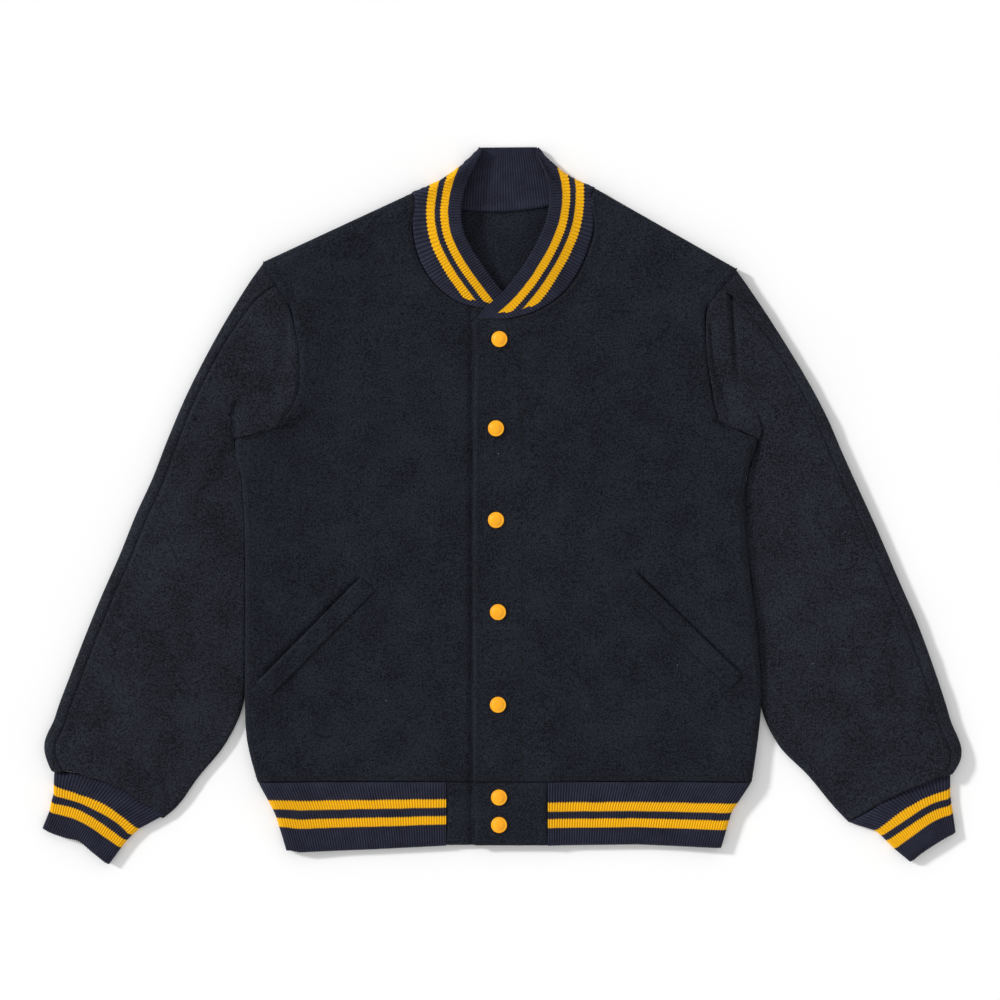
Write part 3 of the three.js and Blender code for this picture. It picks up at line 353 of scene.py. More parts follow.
def front_row(half, inner, outer, curl):
    inset = outer - flat(half.sign * EDGE_RADIUS * min(1, curl * 2), 0)
    shares = np.array(COLUMN_SHARES)[:, None]
    points = inner + (inset - inner) * shares
    from_edge = np.linalg.norm(inset - inner) * (1 - shares[:, 0])
    points[:, 2] = front_top(half, points[:, 0], from_edge, shoulder_distance(half, points))
    top = points[-1, 2]
    if curl == 0:
        edge = flat(outer[0], outer[1], top)
        before = points[-2]
        flat_end = [mix(before, edge, (k + 1) / (FOLD_STEPS + 1)) for k in range(FOLD_STEPS)]
        return np.vstack([points[:-1], flat_end, edge])
    bends = []
    for k in range(1, FOLD_STEPS + 1):
        plain = mix(inset, outer, k / FOLD_STEPS)
        plain[2] = top
        folded = mix(inset, outer, math.sin(quarter(k)))
        folded[2] = mix(EDGE_RADIUS, top, math.cos(quarter(k)))
        bends.append(mix(plain, folded, curl))
    return np.vstack([points, bends])


def front_grid(half):
    rows = [front_row(half, *row) for row in half.rows()]
    last = rows[-1]
    for k in range(1, FOLD_STEPS + 1):
        a = quarter(k)
        arc = last + half.outward * EDGE_RADIUS * math.sin(a)
        arc[:, 2] = mix(EDGE_RADIUS, last[:, 2], math.cos(a))
        rows.append(arc)
    return np.array(rows).transpose(1, 0, 2)


def back_neck_line():
    t = np.array(BACK_NECK_SHARES)[:, None]
    line = RIGHT.neck_points[-1] + (LEFT.neck_points[-1] - RIGHT.neck_points[-1]) * t
    line[:, 1] -= BACK_NECK_DIP * np.sin(np.pi * t[:, 0])
    return line


def edge_points(inset, inside, outer, curl):
    if curl == 0:
        return [mix(inside, outer, t) for t in steps(FOLD_STEPS + 1)[1:]]
    points = []
    for k in range(FOLD_STEPS + 1):
        plain = mix(inset, outer, k / FOLD_STEPS)
        folded = mix(inset, outer, math.sin(quarter(k)))
        folded[2] = EDGE_RADIUS * (1 - math.cos(quarter(k)))
        points.append(mix(plain, folded, curl))
    return points


def back_grid():
    """The back lies on the surface and curls up to the side and shoulder seams."""
    neck_line = back_neck_line()
    shoulder = steps(SHOULDER_COLUMNS)
    shares = np.concatenate([shoulder * SHOULDER_SHARE,
                             mix(SHOULDER_SHARE, 1 - SHOULDER_SHARE, np.array(BACK_NECK_SHARES[1:-1])),
                             1 - SHOULDER_SHARE + shoulder * SHOULDER_SHARE])
    right_rows, left_rows = RIGHT.rows(), LEFT.rows()
    grid = []
    for j, ((_, right, curl), (_, left, _)) in enumerate(zip(right_rows, left_rows)):
        inset_right = right + flat(EDGE_RADIUS * min(1, curl * 2), 0)
        inset_left = left - flat(EDGE_RADIUS * min(1, curl * 2), 0)
        weight = smooth((j - LOWER_ROWS) / (len(right_rows) - 1 - LOWER_ROWS))
        tops = np.vstack([mix(inset_right, neck_line[0], shoulder[:, None]), neck_line[1:-1],
                          mix(neck_line[-1], inset_left, shoulder[:, None])])
        middle = mix(mix(inset_right, inset_left, shares[:, None]), tops, weight)
        grid.append(np.vstack([edge_points(inset_right, middle[1], right, curl)[::-1], middle[1:-1],
                               edge_points(inset_left, middle[-2], left, curl)]))
    last = grid[-1]
    edge = FOLD_STEPS + SHOULDER_COLUMNS
    for k in range(1, FOLD_STEPS + 1):
        a = quarter(k)
        row = last.copy()
        for i in range(len(last)):
            if edge < i < len(last) - 1 - edge:
                row[i, 1] += k * NECK_ROW_STEP
                continue
            half = RIGHT if i < len(last) / 2 else LEFT
            row[i] = last[i] + half.outward * EDGE_RADIUS * math.sin(a)
            row[i, 2] = EDGE_RADIUS * (1 - math.cos(a))
        grid.append(row)
    return np.array(grid).transpose(1, 0, 2)


def armhole_gap(half, k):
    share = k / (len(ARMHOLE_SHARES) - 1)
    turn = (share - 0.6) * math.pi
    gap = ARMHOLE_GAP * (1 + share ** 4)
    if k > FOLD_STEPS + 1:
        return flat(half.sign * gap * math.cos(turn), -gap * math.sin(turn))
    return flat(half.sign * (ARMHOLE_GAP if k else UNDERARM_GAP), UNDERARM_GAP)


def sleeve_ring(half, outer, inner, share):
    armhole, last = half.armhole_points, len(half.armhole_points) - 1
    across = unit(inner - outer)
    settle = float(smooth(share / SLEEVE_SETTLE))
    outer_radius = mix(EDGE_RADIUS, SLEEVE_OUTER_RADIUS, settle)
    inner_radius = mix(EDGE_RADIUS, SLEEVE_INNER_RADIUS, settle)
    outer_inset = outer + across * outer_radius
    inner_inset = inner - across * inner_radius
    in_fold = unit(mix(-across, half.outward, 1 - float(smooth(share / SLEEVE_TURN))))
    top, under = [], []
    for k, seam in enumerate(armhole):
        spread = 0 if k <= FOLD_STEPS else (k - FOLD_STEPS) / (last - FOLD_STEPS)
        plain = mix(inner_inset, outer_inset, spread)
        if k == last - 1:
            plain = outer_inset + across * ELBOW_SEAM_INSET
        if k < FOLD_STEPS:
            plain = inner_inset + across * inner_radius * math.cos(quarter(k))
        reach = min(ARMHOLE_REACH, 0.08 * (k - FOLD_STEPS) + 0.02)
        on_seam = 1 - float(smooth(share / reach)) if k > FOLD_STEPS else float(share == 0)
        place = mix(plain, seam, on_seam)
        if share == 0:
            place = place + armhole_gap(half, k)
        lift = math.sin(quarter(k)) if k < FOLD_STEPS else 1.0
        crown = SLEEVE_CROWN * settle * math.sin(math.pi * min(1, spread * 0.92 + 0.04)) * (k > FOLD_STEPS)
        level = mix(2 * inner_radius, 2 * outer_radius, float(smooth(spread))) + crown
        bow = half.bow * math.sin(math.pi * spread) * float(smooth((share - 0.84) / 0.16))
        place = place + flat(-across[1], across[0]) * (bow if across[0] > 0 else -bow)
        top.append(flat(place[0], place[1], mix(inner_radius, level, lift)))
        under.append(flat(place[0], place[1], inner_radius * (1 - lift)))
    centre = top[last]
    arc = []
    radius = EDGE_RADIUS if share == 0 else outer_radius
    for k in range(1, 2 * FOLD_STEPS):
        a = -math.pi / 2 + k / (2 * FOLD_STEPS) * math.pi
        q = centre + in_fold * radius * math.cos(a)
        arc.append(flat(q[0], q[1], centre[2] / 2 * (1 + math.sin(a))))
    return top, under, arc


def sleeve_rings(half):
    outer = curve_at(half.outer, steps(SLEEVE_RINGS))
    inner = curve_at(half.inner, steps(SLEEVE_RINGS))
    t = steps(SLEEVE_RINGS)
    tuck = SLEEVE_TUCK * smooth(t / 0.08) * (1 - smooth((t - 0.66) / 0.1))
    inner[:, 0] -= half.sign * tuck
    return [sleeve_ring(half, outer[s], inner[s], s / SLEEVE_RINGS) for s in range(SLEEVE_RINGS + 1)]


RIGHT = Half(RIGHT_TABLE)
LEFT = Half(LEFT_TABLE)


def refined(grid, axis, spacing, closed=False, straight=False):
    """A finer grid through the same points, and where each old line went."""
    g = np.moveaxis(np.asarray(grid, float), axis, 0)
    n = len(g)
    chord = np.linalg.norm(np.roll(g, -1, axis=0) - g, axis=-1).mean(axis=1)
    chord = np.maximum(chord, 1e-3)
    spans = n if closed else n - 1
    knots = np.concatenate([[0], np.cumsum(chord[:spans])])
    before = np.roll(chord, 1)
    step = (np.roll(g, -1, axis=0) - g) / chord[:, None, None]
    prior = np.roll(step, 1, axis=0)
    tangent = (step * before[:, None, None] + prior * chord[:, None, None]) / (before + chord)[:, None, None]
    if not closed:
        tangent[0] = step[0] * 1.5 - tangent[1] * 0.5
        tangent[-1] = step[-2] * 1.5 - tangent[-2] * 0.5
    out, index = [], []
    for k in range(spans):
        index.append(len(out))
        count = max(1, int(round(chord[k] / spacing)))
        a, b = g[k], g[(k + 1) % n]
        ta, tb = tangent[k] * chord[k], tangent[(k + 1) % n] * chord[k]
        for w in np.arange(count) / count:
            if straight:
                out.append(a + (b - a) * w)
                continue
            out.append(a + w * (ta + w * (-3 * a + 3 * b - 2 * ta - tb + w * (2 * a - 2 * b + ta + tb))))
    if not closed:
        index.append(len(out))
        out.append(g[-1])
    return np.moveaxis(np.array(out), 0, axis), index


def turned(grid, axis, closed=False):
    if closed:
        return np.roll(grid, -1, axis=axis) - np.roll(grid, 1, axis=axis)
    return np.gradient(grid, axis=axis)


def facing(grid, closed=False):
    """Unit directions square to a grid."""
    return unit(np.cross(turned(grid, 0, closed), turned(grid, 1)))


def rim_distance(grid, axis, end):
    """Distance along the grid's lines from one rim."""
    g = np.moveaxis(grid, axis, 0)
    if end:
        g = g[::-1]
    run = np.concatenate([np.zeros((1, g.shape[1])),
                          np.cumsum(np.linalg.norm(np.diff(g, axis=0), axis=-1), axis=0)])
    if end:
        run = run[::-1]
    return np.moveaxis(run, 0, axis)


def ripple(x, y, seed, size, count=7):
    """Soft uneven waves from a few seeded directions, between about -1 and 1."""
    rng = np.random.default_rng(seed)
    total = np.zeros_like(np.asarray(x, float))
    for _ in range(count):
        a = rng.uniform(0, math.tau)
        f = rng.uniform(0.6, 1.5) * math.tau / size
        phase = rng.uniform(0, math.tau)
        total = total + np.sin((x * math.cos(a) + y * math.sin(a)) * f + phase)
    return total / math.sqrt(count * 2)


def mesh_object(name, vertices, quads, uv, material, corners=None):
    vertices = np.asarray(vertices, float) * MM
    quads = np.asarray(quads, int)
    corner = vertices[quads]
    volume = np.einsum("ij,ij->", np.cross(corner[:, 0], corner[:, 1]), corner[:, 2])
    volume += np.einsum("ij,ij->", np.cross(corner[:, 0], corner[:, 2]), corner[:, 3])
    corners = quads if corners is None else corners
    if volume < 0:
        quads, corners = quads[:, ::-1], corners[:, ::-1]
    mesh = bpy.data.meshes.new(name)
    mesh.vertices.add(len(vertices))
    mesh.vertices.foreach_set("co", vertices.ravel())
    mesh.loops.add(quads.size)
    mesh.loops.foreach_set("vertex_index", quads.ravel())
    mesh.polygons.add(len(quads))
    mesh.polygons.foreach_set("loop_start", np.arange(len(quads)) * 4)
    mesh.polygons.foreach_set("use_smooth", np.ones(len(quads), bool))
    mesh.update(calc_edges=True)
    layer = mesh.uv_layers.new(name="UVMap")
    layer.data.foreach_set("uv", np.asarray(uv, float)[corners.ravel()].ravel())
    mesh.validate()
    mesh.materials.append(material)
    obj = bpy.data.objects.new(name, mesh)
    bpy.context.scene.collection.objects.link(obj)
    return obj


def shell(name, outer, inner, uv, material, closed=False, inner_uv=None, plain=None):
    """A closed thin body between two grids."""
    n, m = outer.shape[:2]
    vertices = np.concatenate([outer.reshape(-1, 3), inner.reshape(-1, 3)])
    vertices[:, 2] = np.maximum(vertices[:, 2], 0.0)
    i, j = np.meshgrid(np.arange(n if closed else n - 1), np.arange(m - 1), indexing="ij")
    i, j = i.ravel(), j.ravel()
    nxt = (i + 1) % n
    face = np.stack([i * m + j, nxt * m + j, nxt * m + j + 1, i * m + j + 1], axis=1)
    quads = [face, face[:, ::-1] + n * m]

    def rim(a, b):
        return np.stack([a, a + n * m, b + n * m, b], axis=1)

    k = np.arange(n if closed else n - 1)
    after = (k + 1) % n
    quads += [rim(k * m, after * m), rim(after * m + m - 1, k * m + m - 1)]
    if not closed:
        k = np.arange(m - 1)
        quads += [rim(k + 1, k), rim((n - 1) * m + k, (n - 1) * m + k + 1)]
    unstriped = uv.reshape(-1, 2) * [1, 0] + [0, 0.1]
    uvs = np.concatenate([uv.reshape(-1, 2), (uv if inner_uv is None else inner_uv).reshape(-1, 2),
                          unstriped])
    shown = face if plain is None else face + plain.reshape(-1)[face].all(axis=1)[:, None] * 2 * n * m
    corners = np.concatenate([shown, quads[1]] + [part % (n * m) for part in quads[2:]])
    return mesh_object(name, vertices, np.concatenate(quads), uvs, material, corners)


# Materials


def linear(r, g, b):
    channels = (r / 255, g / 255, b / 255)
    return tuple(c / 12.92 if c <= 0.04045 else ((c + 0.055) / 1.055) ** 2.4 for c in channels) + (1.0,)


class Tree:
    """A material's node tree with short calls for its nodes."""

    def __init__(self, name):
        self.material = bpy.data.materials.new(name)
        self.material.use_nodes = True
        self.tree = self.material.node_tree
        self.tree.nodes.clear()
        self.shader = self.add("ShaderNodeBsdfPrincipled")
        out = self.add("ShaderNodeOutputMaterial")
        self.link(self.shader.outputs[0], out.inputs["Surface"])

    def add(self, kind, **settings):
        node = self.tree.nodes.new(kind)
        for key, value in settings.items():
            setattr(node, key, value)
        return node

    def link(self, a, b):
        self.tree.links.new(a, b)

    def set(self, node, key, value):
        if isinstance(value, bpy.types.NodeSocket):
            self.link(value, node.inputs[key])
        else:
            node.inputs[key].default_value = value

    def math(self, operation, a, b=0.0, clamp=False):
        node = self.add("ShaderNodeMath", operation=operation, use_clamp=clamp)
        self.set(node, 0, a)
        self.set(node, 1, b)
        return node.outputs[0]

    def ramp(self, value, low, high, out_low=0.0, out_high=1.0):
        node = self.add("ShaderNodeMapRange", interpolation_type="SMOOTHSTEP")
        for key, v in (("Value", value), ("From Min", low), ("From Max", high), ("To Min", out_low),
                       ("To Max", out_high)):
            self.set(node, key, v)
        return node.outputs["Result"]

    def mixed(self, factor, a, b, blend="MIX"):
        node = self.add("ShaderNodeMix", data_type="RGBA", blend_type=blend)
        self.set(node, 0, factor)
        self.set(node, 6, a)
        self.set(node, 7, b)
        return node.outputs[2]

    def noise(self, vector, scale, detail=3.0, roughness=0.6):
        node = self.add("ShaderNodeTexNoise")
        self.link(vector, node.inputs["Vector"])
        self.set(node, "Scale", scale)
        self.set(node, "Detail", detail)
        self.set(node, "Roughness", roughness)
        return node.outputs["Fac"]

    def stretched(self, vector, scale, turn):
        node = self.add("ShaderNodeMapping")
        self.link(vector, node.inputs["Vector"])
        node.inputs["Scale"].default_value = scale
        node.inputs["Rotation"].default_value = (0, 0, turn)
        return node.outputs[0]

    def bump(self, height, strength, distance, normal=None):
        node = self.add("ShaderNodeBump")
        self.set(node, "Height", height)
        self.set(node, "Strength", strength)
        self.set(node, "Distance", distance)
        if normal is not None:
            self.link(normal, node.inputs["Normal"])
        return node.outputs[0]

    def shade(self, **values):
        for key, value in values.items():
            self.set(self.shader, key.replace("_", " "), value)


def wool_material(name, dark, light):
    t = Tree(name)
    place = t.add("ShaderNodeTexCoord").outputs["Object"]
    patch = t.noise(place, 26.0, 4.0)
    nap = t.noise(place, 520.0, 5.0, 0.75)
    grain = t.noise(place, 880.0, 3.0, 0.8)
    fibre_a = t.noise(t.stretched(place, (300, 1700, 600), 0.5), 1.0, 3.0)
    fibre_b = t.noise(t.stretched(place, (300, 1700, 600), -0.9), 1.0, 3.0)
    fibres = t.math("ADD", fibre_a, fibre_b)
    tone = t.math("ADD", t.math("MULTIPLY", patch, 0.18), t.math("MULTIPLY", nap, 0.8))
    tone = t.math("ADD", tone, t.math("MULTIPLY", grain, 0.62))
    color = t.mixed(t.ramp(tone, 0.7, 0.9), dark, light)
    color = t.mixed(t.ramp(fibres, 1.1, 1.4, 0.0, 0.45), color, tuple(c * 2.4 for c in light[:3]) + (1.0,))
    color = t.mixed(t.ramp(grain, 0.30, 0.42, 0.6, 0.0), color, tuple(c * 0.4 for c in dark[:3]) + (1.0,))
    cells = t.add("ShaderNodeTexVoronoi", feature="F1")
    t.link(place, cells.inputs["Vector"])
    t.set(cells, "Scale", 42.0)
    pick = t.add("ShaderNodeSeparateColor")
    t.link(cells.outputs["Color"], pick.inputs[0])
    near = t.ramp(cells.outputs["Distance"], 0.016, 0.04, 1.0, 0.0)
    chosen = t.ramp(pick.outputs[0], 0.78, 0.84)
    color = t.mixed(t.math("MULTIPLY", t.math("MULTIPLY", near, chosen), 0.7), color, linear(135, 136, 138))
    coarse = t.bump(patch, 0.35, 0.003)
    fuzz = t.bump(t.math("ADD", nap, t.math("MULTIPLY", fibres, 0.5)), 1.0, 0.003, coarse)
    t.shade(Base_Color=color, Roughness=0.95, Specular_IOR_Level=0.1, Normal=fuzz, Sheen_Weight=0.1,
            Sheen_Roughness=0.55, Sheen_Tint=linear(150, 155, 175))
    return t.material


def rib_material(name, base, light, yellow):
    t = Tree(name)
    coords = t.add("ShaderNodeTexCoord")
    place = coords.outputs["Object"]
    split = t.add("ShaderNodeSeparateXYZ")
    t.link(coords.outputs["UV"], split.inputs[0])
    along, across = split.outputs[0], split.outputs[1]
    phase = t.math("MULTIPLY", along, math.tau / (RIB_PITCH * MM))
    ridge = t.math("COSINE", phase)
    fuzz = t.noise(place, 700.0, 4.0, 0.7)
    soft = t.noise(place, 60.0, 2.0)
    wander = t.math("ADD", across, t.math("MULTIPLY", t.math("SUBTRACT", soft, 0.5), 0.02))
    wander = t.math("ADD", wander, t.math("MULTIPLY", ridge, 0.007))
    tone = t.math("ADD", t.math("MULTIPLY", fuzz, 0.8), t.math("MULTIPLY", soft, 0.4))
    color = t.mixed(t.ramp(tone, 0.35, 0.85), base, light)
    first = t.math("MULTIPLY", t.ramp(wander, 0.242, 0.258), t.ramp(wander, 0.367, 0.383, 1.0, 0.0))
    second = t.math("MULTIPLY", t.ramp(wander, 0.492, 0.508), t.ramp(wander, 0.617, 0.633, 1.0, 0.0))
    stripe = t.math("ADD", first, second, clamp=True)
    yarn = t.mixed(t.ramp(tone, 0.3, 0.9), tuple(c * 0.85 for c in yellow[:3]) + (1.0,), yellow)
    color = t.mixed(stripe, color, yarn)
    # Painted shade: the colour is darkened in the rib valleys, down to 0.4 on navy and 0.74 on the yellow
    # stripes.
    low = t.math("ADD", 0.4, t.math("MULTIPLY", stripe, 0.34))
    valley_painted_shade = t.ramp(ridge, -1.0, 0.5, low, 1.0)
    shade = t.add("ShaderNodeCombineColor")
    for k in range(3):
        t.link(valley_painted_shade, shade.inputs[k])
    color = t.mixed(1.0, color, shade.outputs[0], "MULTIPLY")
    courses = t.math("SINE", t.math("ADD", t.math("MULTIPLY", across, 52 * math.tau),
                                    t.math("MULTIPLY", t.math("ABSOLUTE", t.math("SINE", phase)), 2.2)))
    stitch = t.bump(courses, 0.35, 0.0004)
    normal = t.bump(fuzz, 0.4, 0.0006, stitch)
    t.shade(Base_Color=color, Roughness=0.9, Specular_IOR_Level=0.15, Normal=normal, Sheen_Weight=0.12,
            Sheen_Roughness=0.5, Sheen_Tint=linear(150, 150, 180))
    return t.material


def enamel_material():
    t = Tree("snap_enamel")
    place = t.add("ShaderNodeTexCoord").outputs["Object"]
    fine = t.noise(place, 900.0, 2.0)
    broad = t.noise(place, 120.0, 2.0)
    color = t.mixed(t.ramp(broad, 0.3, 0.7), linear(248, 164, 2), linear(252, 174, 5))
    rough = t.ramp(fine, 0.3, 0.8, 0.3, 0.42)
    normal = t.bump(broad, 0.05, 0.001)
    t.shade(Base_Color=color, Roughness=rough, Coat_Weight=0.25, Coat_Roughness=0.1, Specular_IOR_Level=0.3,
            Normal=normal)
    return t.material


def thread_material(name, color):
    t = Tree(name)
    place = t.add("ShaderNodeTexCoord").outputs["Object"]
    twist = t.noise(t.stretched(place, (900, 900, 900), 0.7), 1.0, 2.0)
    tone = t.mixed(t.ramp(twist, 0.3, 0.7), tuple(c * 0.7 for c in color[:3]) + (1.0,), color)
    t.shade(Base_Color=tone, Roughness=0.7, Specular_IOR_Level=0.3, Normal=t.bump(twist, 0.4, 0.0002))
    return t.material


def floor_material():
    t = Tree("pale_floor")
    place = t.add("ShaderNodeTexCoord").outputs["Object"]
    broad = t.noise(place, 2.0, 2.0)
    fine = t.noise(place, 300.0, 2.0)
    color = t.mixed(t.ramp(broad, 0.3, 0.7), (0.93, 0.93, 0.93, 1), (0.95, 0.95, 0.95, 1))
    t.shade(Base_Color=color, Roughness=0.8, Specular_IOR_Level=0.1, Normal=t.bump(fine, 0.05, 0.0002))
    return t.material


WOOL_CLOTH = wool_material("wool_cloth", linear(5, 6, 9), linear(44, 48, 59))
SLEEVE_CLOTH = wool_material("sleeve_cloth", linear(7, 8, 11), linear(51, 54, 64))
RIB_KNIT = rib_material("rib_knit", linear(28, 29, 42), linear(51, 53, 71), linear(255, 188, 14))
ENAMEL = enamel_material()
THREAD = thread_material("tonal_thread", linear(8, 9, 13))


# Pieces


def declared(obj, slot, *nodes):
    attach(obj, "root")
    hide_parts(*nodes)
    return obj


def grooves(depth, distances):
    """How far a cloth's face turns in at its rims."""
    total = np.zeros_like(distances[0])
    for d in distances:
        total = np.maximum(total, depth * np.exp(-(d / GROOVE_WIDTH) ** 2))
    return total


def seam_ridge(distances):
    """The seam's folded-in allowance shows as a low soft ridge beside it."""
    total = np.zeros_like(distances[0])
    for d in distances:
        ridge = RIDGE_HEIGHT * np.exp(-((d - RIDGE_INSET) / RIDGE_WIDTH) ** 2)
        dent = RIDGE_DENT * np.exp(-((d - RIDGE_DENT_INSET) / RIDGE_DENT_WIDTH) ** 2)
        total = np.maximum(total, ridge - dent)
    return total


def oriented(grid, up_at, closed=False):
    """Normals that point up at one place of the grid."""
    normals = facing(grid, closed)
    return -normals if normals[up_at][2] < 0 else normals


def panel(name, fine, normals, material, seed, rims=(), waves=0.55, extra=None, soften=None, thick=WOOL):
    """A wool shell on its fine grid, with soft dips, small waves and turned-in seams."""
    x, y = fine[..., 0], fine[..., 1]
    upward = np.clip(normals[..., 2] * 1.2 - 0.2, 0, 1)
    distances = [rim_distance(fine, axis, end) for axis, end in rims]
    away = np.ones_like(x)
    for d in distances:
        away = np.minimum(away, smooth(d / 12))
    sink = dip(x, y) * (1 if soften is None else soften)
    if extra is not None:
        sink = sink + extra(x, y)
    outer = fine - flat(0, 0, 1) * (sink * upward)[..., None]
    move = (ripple(x, y, seed, 46) * waves * away + ripple(x, y, seed + 1, 17) * waves * 0.25) * upward
    if distances:
        move = move + (seam_ridge(distances) - grooves(GROOVE_DEPTH, distances)) * upward
    outer = outer + normals * move[..., None]
    inner = outer - normals * thick
    obj = shell(name, outer, inner, np.stack([x, y], axis=-1) * MM, material)
    return obj, outer, normals


def trace(outer, normals, axis, end, distance):
    """The line on a face at a distance from one rim, with its normals."""
    run = np.moveaxis(rim_distance(outer, axis, end), axis, 0)
    points, ups = np.moveaxis(outer, axis, 0), np.moveaxis(normals, axis, 0)
    if end:
        run, points, ups = run[::-1], points[::-1], ups[::-1]
    line = [[np.interp(distance, run[:, j], points[:, j, c]) for c in range(3)] for j in range(run.shape[1])]
    up = [[np.interp(distance, run[:, j], ups[:, j, c]) for c in range(3)] for j in range(run.shape[1])]
    return np.array(line), unit(np.array(up))


DASH = dict(pitch=3.2, length=2.6, radius=0.4)


def stitches(name, lines):
    """Short rounded thread dashes along lines, in one mesh."""
    vertices, quads = [], []
    sides = [(1, 0), (0, 1), (-1, 0), (0, -1)]
    for points, ups in lines:
        run = lengths(points)
        count = int(run[-1] / DASH["pitch"])
        for k in range(count):
            start = (k + 0.15) * run[-1] / count
            ends = []
            for s in (start, start + DASH["length"]):
                ends.append((np.array([np.interp(s, run, points[:, c]) for c in range(3)]),
                             np.array([np.interp(s, run, ups[:, c]) for c in range(3)])))
            (a, up), (b, _) = ends
            forward = unit(b - a)
            side = unit(np.cross(up, forward))
            base = len(vertices)
            for t, r in ((0, 0.25), (0.18, 1.0), (0.82, 1.0), (1, 0.25)):
                centre = a + (b - a) * t + up * (0.12 if 0 < t < 1 else -0.1)
                for cx, cz in sides:
                    vertices.append(centre + (side * cx * 1.3 + up * cz) * r * DASH["radius"])
            for ring in range(3):
                for n in range(4):
                    p, q = base + ring * 4 + n, base + ring * 4 + (n + 1) % 4
                    quads.append([p, q, q + 4, p + 4])
            quads.append([base + 3, base + 2, base + 1, base])
            quads.append([base + 12, base + 13, base + 14, base + 15])
    vertices = np.array(vertices)
    obj = mesh_object(name, vertices, quads, vertices[:, :2] * MM, THREAD)
    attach(obj, "root")
    return obj


class Drape:
    """Heights and normals of a face, looked up from above."""

    def __init__(self, outer):
        n, m = outer.shape[:2]
        i, j = np.meshgrid(np.arange(n - 1), np.arange(m - 1), indexing="ij")
        i, j = i.ravel(), j.ravel()
        quads = np.stack([i * m + j, (i + 1) * m + j, (i + 1) * m + j + 1, i * m + j + 1], axis=1)
        self.tree = BVHTree.FromPolygons([Vector(p) for p in outer.reshape(-1, 3)], quads.tolist())

    def at(self, x, y):
        hit = self.tree.ray_cast(Vector((x, y, 60.0)), Vector((0, 0, -1)))
        if hit[0] is None:
            return None, None
        up = np.array(hit[1])
        return hit[0].z, up if up[2] > 0 else -up

    def heights(self, points, default=0.0):
        found = [self.at(p[0], p[1])[0] for p in points]
        return np.array([default if z is None else z for z in found])


def rib_band(name, grid, shares, material, up_at, closed=False, lean=None, plain_strip=0.0):
    """A rib shell: its first axis runs along the band, its second from the seam to the free edge."""
    middle = grid[:, grid.shape[1] // 2]
    run = lengths(np.vstack([middle, middle[:1]]) if closed else middle)
    pitch = RIB_PITCH
    if closed:
        pitch = run[-1] / round(run[-1] / RIB_PITCH)
        run = run[:-1]
    shares = np.broadcast_to(shares, grid.shape[:2])
    phase = np.broadcast_to(run[:, None], grid.shape[:2]) + (0 if lean is None else lean)
    ridge = np.cos(math.tau * phase / pitch)
    normals = oriented(grid, up_at, closed)
    down = rim_distance(grid, 1, 0)
    press = 0.35 + 0.65 * smooth(down / SEAM_PRESS_REACH)
    relief = mix(RIB_LOW, RIB_HIGH, 0.5 + 0.5 * ridge) * press
    outward = unit(grid[:, -1] - grid[:, -2])
    scallop = (smooth((shares - 0.8) / 0.2) * ridge * 0.3)[..., None] * outward[:, None, :]
    outer = grid + normals * relief[..., None] + scallop
    inner = outer - normals * RIB_WALL
    uv = np.stack([phase * RIB_PITCH / pitch * MM, shares], axis=-1)
    plain = np.stack([uv[..., 0], np.full(shares.shape, 0.05)], axis=-1)
    return shell(name, outer, inner, uv, material, closed, plain, down < plain_strip)


def band_rows(stripes, extra=10):
    """Rows across a band, in millimetres and in stripe shares, with a row on each stripe edge."""
    rows = np.unique(np.concatenate([stripes, np.linspace(0, stripes[-1], extra + 1)]))
    return rows / stripes[-1], np.interp(rows, stripes, STRIPE_SHARES)


# Body


def welt_frame(side):
    spec = WELTS[side]
    upper, lower = flat(*spec["upper"]), flat(*spec["lower"])
    along = lower - upper
    across = unit(flat(-along[1], along[0]))
    open_side = -1 if side == "right" else 1
    return upper, along, across * open_side, spec["width"]


def pocket_sink(side):
    """The front sinks a little along the pocket's opening."""
    upper, along, outward, width = welt_frame(side)
    length = np.linalg.norm(along)
    direction = along / length

    def sink(x, y):
        dx, dy = x - upper[0], y - upper[1]
        run = dx * direction[0] + dy * direction[1]
        off = dx * outward[0] + dy * outward[1] - width / 2
        ends = smooth((run + 2) / 8) * smooth((length + 2 - run) / 8)
        slit = 3.4 * np.exp(-((off - 1.2) / 1.7) ** 2)
        swell = -1.2 * np.exp(-((off - 9) / 6.0) ** 2)
        return (slit + swell) * ends

    return sink


def make_front(half, side):
    grid = front_grid(half)
    fine, _ = refined(grid, 0, FRONT_SPACING)
    fine, _ = refined(fine, 1, FRONT_SPACING)
    normals = oriented(fine, (20, 40))
    soften = smooth(shoulder_distance(half, fine) / 30)
    sink = pocket_sink(side)
    obj, outer, normals = panel(f"cloth_front_{side}", fine, normals, WOOL_CLOTH,
                                11 if side == "right" else 23,
                                rims=[(0, 0), (0, 1), (1, 0), (1, 1)], extra=sink, soften=soften)
    return declared(obj, "wool", f"front_{side}"), outer, normals


front_right, right_face, right_up = make_front(RIGHT, "right")
front_left, left_face, left_up = make_front(LEFT, "left")


def seam_lines(points, drape):
    """A line laid on a face, with the face's directions."""
    laid, ups = [], []
    for x, y in points:
        z, up = drape.at(x, y)
        if z is not None:
            laid.append((x, y, z))
            ups.append(up)
    return np.array(laid), np.array(ups)


def make_back():
    fine, _ = refined(back_grid(), 0, BACK_SPACING, straight=True)
    fine, _ = refined(fine, 1, BACK_SPACING, straight=True)
    normals = -oriented(fine, (fine.shape[0] // 2, 20))
    obj, outer, _ = panel("cloth_back", fine, normals, WOOL_CLOTH, 5, thick=BACK_THICKNESS)
    return declared(obj, "wool", "back"), outer


back, back_face = make_back()


